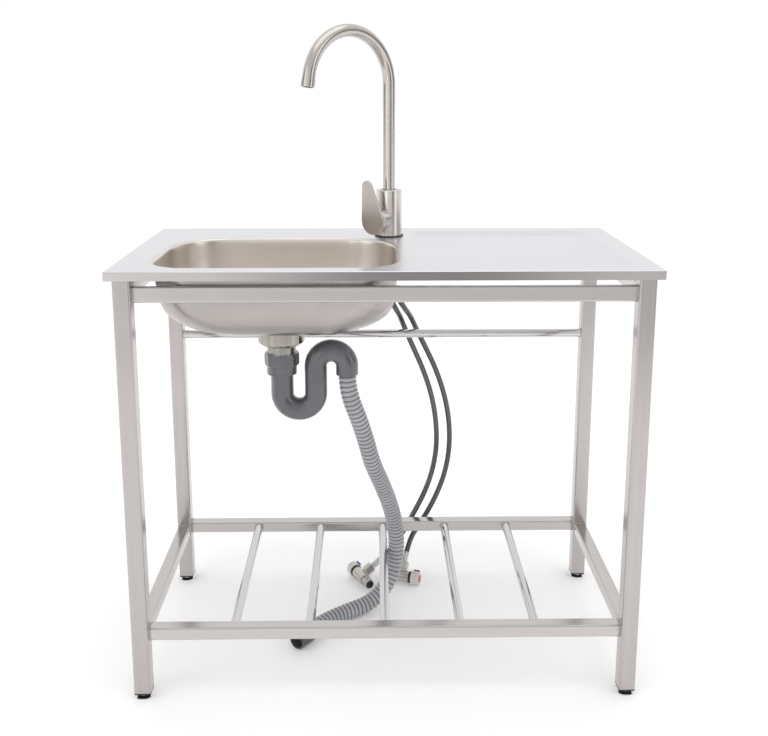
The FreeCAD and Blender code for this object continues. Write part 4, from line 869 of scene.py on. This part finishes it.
CUFF_RIDGE_BAND = {"radius": 0.0189, "height": 0.0028, "edge": 0.0009}
SEAL_FROM_KNOB = 0.0939
SEAL_RADIUS = 0.0094
SEAL_HEIGHT = 0.0014
SEAL_WIDTH = 0.0042
SEAL_EDGE = 0.0004
SAME_RADIUS = 0.0001
TAB_SIZE = (0.006, 0.0058, 0.0155)
TAB_EDGE = 0.0011
TAB_RIM = 0.0006
TAB_RECESS = 0.0004
TAB_FROM_KNOB = 0.0108
TAB_PROUD = 0.0008


def valve_lines(side):
    """The knob's start, and the directions of the valve's barrel, its branch side and its branch."""
    start, degrees, tilt = VALVES[side]
    angle, tilt = math.radians(degrees), math.radians(tilt)
    barrel = Vector((math.cos(angle), math.sin(angle), 0))
    sideways = Vector((-barrel.y, barrel.x, 0))
    if sideways.y < 0:
        sideways = -sideways
    branch = sideways * math.cos(tilt) + UP * math.sin(tilt)
    return Vector(start), barrel, sideways, branch


def thread(name, place, finish, slot, radius, length, ridge):
    """A helical ridge that runs up the place's Z."""
    pitch = 2 * ridge
    deselect_all()
    bpy.ops.mesh.primitive_circle_add(vertices=RIDGE_SIDES, radius=ridge, location=(radius, 0, 0),
                                      rotation=(QUARTER_TURN, 0, 0))
    bpy.ops.object.transform_apply(location=True, rotation=True, scale=True)
    apply_modifier("SCREW", axis="Z", angle=math.tau, screw_offset=pitch, steps=THREAD_STEPS,
                   render_steps=THREAD_STEPS, iterations=int(length / pitch), use_smooth_shade=False)
    edit()
    bpy.ops.mesh.select_all(action="SELECT")
    bpy.ops.mesh.fill_holes(sides=RIDGE_SIDES)
    bpy.ops.mesh.select_all(action="SELECT")
    bpy.ops.mesh.normals_make_consistent(inside=False)
    edit(False)
    bpy.context.object.matrix_world = place
    finish_piece(name, "sink", finish, smooth=25)


def rounded_band(radius, height, edge):
    """A low round band with rounded edges, to be copied."""
    deselect_all()
    bpy.ops.mesh.primitive_cylinder_add(vertices=BAND_SIDES, radius=radius, depth=height)
    edit()
    choose("edges", lambda side: rise(side) < height / 2)
    bpy.ops.mesh.bevel(offset=edge, segments=3)
    edit(False)
    return bpy.context.object


def crimp_bands():
    """Crimps round each of the four ferrules of the braided hoses."""
    ferrules = [(Vector(route[0]) + UP * CRIMP_FROM_TAP_END, UP)
                for route in (COLD_HOSE_ROUTE, HOT_HOSE_ROUTE)]
    for side in VALVES:
        start, barrel, _, branch = valve_lines(side)
        foot = start + barrel * BRANCH_FROM_KNOB + branch * FERRULE_FROM_BRANCH
        ferrules.append((foot + branch * CRIMP_FROM_VALVE_END, branch))
    places = [frame_at(first + ahead * CRIMP_PITCH * number, ahead)
              for first, ahead in ferrules for number in range(CRIMPS)]
    copies_of(rounded_band(**CRIMP_BAND), places)
    finish_piece("ferrule_crimps", "sink", "chrome")


def cuff_ridges():
    """Grip ridges round the soft cuff at the end of the drain hose."""
    heading = (Vector(DRAIN_HOSE_ROUTE[-1]) - Vector(DRAIN_HOSE_ROUTE[-2])).normalized()
    _, _, middle = room_of("drain_hose_cuff")
    middle.z = CUFF_RIDGE_LEVEL
    copies_of(rounded_band(**CUFF_RIDGE_BAND),
              [frame_at(middle + heading * reach, heading) for reach in CUFF_RIDGE_REACHES])
    finish_piece("cuff_ridges", "sink", "cuff")


def inlet_seals():
    """The black sealing washer on the end of each valve's inlet."""
    deselect_all()
    bpy.ops.mesh.primitive_cylinder_add(vertices=BAND_SIDES, radius=SEAL_RADIUS, depth=SEAL_HEIGHT)
    edit()
    choose("faces", lambda face: abs(face.normal.z) > FACING)
    bpy.ops.mesh.inset(thickness=SEAL_WIDTH)
    bpy.ops.mesh.bridge_edge_loops()
    choose("edges", lambda side: rise(side) < SEAL_HEIGHT / 2
           and abs(side.verts[0].co.xy.length - side.verts[1].co.xy.length) < SAME_RADIUS)
    bpy.ops.mesh.bevel(offset=SEAL_EDGE, segments=2)
    edit(False)
    places = []
    for side in VALVES:
        start, barrel, _, _ = valve_lines(side)
        places.append(frame_at(start + barrel * SEAL_FROM_KNOB, barrel))
    copies_of(bpy.context.object, places)
    finish_piece("inlet_seals", "sink", "black")


def knob_tab(side):
    """The coloured tab along the knob, with a shallow recess in its face."""
    start, barrel, sideways, _ = valve_lines(side)
    outward = (sideways + UP).normalized()
    deselect_all()
    bpy.ops.mesh.primitive_cube_add(size=1)
    tab = bpy.context.object
    tab.scale = TAB_SIZE
    bpy.ops.object.transform_apply(scale=True)
    edit()
    bpy.ops.mesh.select_all(action="SELECT")
    bpy.ops.mesh.bevel(offset=TAB_EDGE, segments=3)
    choose("faces", lambda face: face.normal.x > FACING)
    bpy.ops.mesh.inset(thickness=TAB_RIM)
    bpy.ops.mesh.extrude_region_move(TRANSFORM_OT_translate={"value": (-TAB_RECESS, 0, 0)})
    edit(False)
    tab.matrix_world = frame_at(start + barrel * TAB_FROM_KNOB + outward * (KNOB_RADIUS + TAB_PROUD),
                                barrel, outward)
    finish_piece("valve_%s_tab" % side, side + "_knob", side, smooth=30)


pressed_bowl()
weld_beads()
rail_plugs()
thread("strainer_neck_thread", Matrix.Translation(NECK_THREAD_FOOT), "locknut", "strainer_steel",
       **NECK_THREAD)
for side in VALVES:
    start, barrel, _, _ = valve_lines(side)
    thread("valve_%s_thread" % side, frame_at(start + barrel * INLET_THREAD_FROM_KNOB, barrel), "valve",
           "fitting_chrome", **INLET_THREAD)
    knob_tab(side)
crimp_bands()
cuff_ridges()
inlet_seals()


# Studio

FLOOR_FRONT = -2.4
FLOOR_SIZE = 40
FLOOR_TONES = ((0.96, 0.96, 0.96), (0.98, 0.98, 0.98))
FLOOR_MARKS_SCALE = 0.6
FLOOR_GLOW = 0.10

# Brightness of the mirrored studio, by the degrees to the right of the camera side
ROUND_PANELS = (
    (-180, 1.00), (-125, 1.00), (-104, 0.30), (-84, 0.22), (-66, 0.92), (-27, 0.95), (-24, 4.00),
    (-21, 0.95), (-6, 0.84), (12, 0.80), (23, 0.80), (30, 0.14), (45, 0.12), (52, 0.98), (64, 0.95),
    (82, 0.20), (104, 0.30), (125, 1.00), (180, 1.00),
)

# Brightness over the object, from the camera side to the rear, and how high it takes over from the panels
OVERHEAD_PANELS = ((0.0, 0.76), (0.36, 0.78), (0.62, 0.94), (1.0, 1.00))
OVERHEAD_LEVELS = (0.12, 0.48)

# Soft boxes: place, what each faces, width and height, and power
SOFT_BOXES = {
    "overhead_box": ((0.2, -0.3, 3.2), (0, 0, 0.8), (2.6, 2.0), 12),
    "left_box": ((-2.6, -1.6, 1.6), (0, 0, 0.6), (0.9, 2.2), 5),
    "right_box": ((2.6, -1.4, 1.5), (0, 0, 0.6), (0.9, 2.2), 4),
}


def pale_floor():
    """A pale floor that ends a little behind the camera, so that upright steel mirrors the studio."""
    deselect_all()
    bpy.ops.mesh.primitive_plane_add(size=FLOOR_SIZE, location=(0, FLOOR_FRONT + FLOOR_SIZE / 2, 0))
    bpy.ops.object.transform_apply(location=True)
    floor = bpy.context.object
    floor.name = "studio_floor"
    material, tree, shader = fresh_material("pale_floor")
    place = add_node(tree, "ShaderNodeTexCoord").outputs["Object"]
    tree.links.new(mixed(tree, marks_at(tree, place, FLOOR_MARKS_SCALE), *FLOOR_TONES),
                   shader.inputs["Base Color"])
    shader.inputs["Roughness"].default_value = 0.9
    shader.inputs["Specular IOR Level"].default_value = 0.1
    shader.inputs["Emission Color"].default_value = (1, 1, 1, 1)
    shader.inputs["Emission Strength"].default_value = FLOOR_GLOW
    floor.data.materials.append(material)


def panel_ramp(tree, factor, panels):
    ramp = add_node(tree, "ShaderNodeValToRGB", {"Fac": factor})
    stops = ramp.color_ramp.elements
    while len(stops) < len(panels):
        stops.new(0.5)
    for stop, (where, grey) in zip(stops, panels):
        stop.position = where
        stop.color = (grey, grey, grey, 1)
    return ramp.outputs["Color"]


def studio_world():
    """White for the camera and for soft light, and a studio of bright and dark panels in the reflections."""
    world = bpy.data.worlds.new("studio")
    scene.world = world
    world.use_nodes = True
    tree = world.node_tree
    parts = split(tree, add_node(tree, "ShaderNodeTexCoord").outputs["Generated"])
    turn = worked(tree, "ARCTAN2", parts["X"], worked(tree, "MULTIPLY", parts["Y"], -1))
    walls = panel_ramp(tree, share_of(tree, turn, -math.pi, math.pi),
                       [((degrees + 180) / 360, grey) for degrees, grey in ROUND_PANELS])
    ceiling = panel_ramp(tree, share_of(tree, parts["Y"], -1, 1), OVERHEAD_PANELS)
    room = tree.nodes["Background"]
    overhead = masked(tree, parts["Z"], *OVERHEAD_LEVELS)
    tree.links.new(mixed(tree, overhead, walls, ceiling), room.inputs["Color"])
    white = add_node(tree, "ShaderNodeBackground", {"Color": (1, 1, 1, 1)})
    mirrored = add_node(tree, "ShaderNodeLightPath").outputs["Is Glossy Ray"]
    seen = add_node(tree, "ShaderNodeMixShader",
                    {"Fac": mirrored, 1: white.outputs["Background"], 2: room.outputs["Background"]})
    tree.links.new(seen.outputs["Shader"], tree.nodes["World Output"].inputs["Surface"])


def soft_box(name, place, target, size, power):
    light = bpy.data.lights.new(name, "AREA")
    light.shape = "RECTANGLE"
    light.size, light.size_y = size
    light.energy = power
    lamp = bpy.data.objects.new(name, light)
    scene.collection.objects.link(lamp)
    lamp.location = place
    lamp.rotation_euler = (Vector(target) - Vector(place)).to_track_quat("-Z", "Y").to_euler()


pale_floor()
studio_world()
for name, values in SOFT_BOXES.items():
    soft_box(name, *values)
scene.view_settings.view_transform = "Standard"
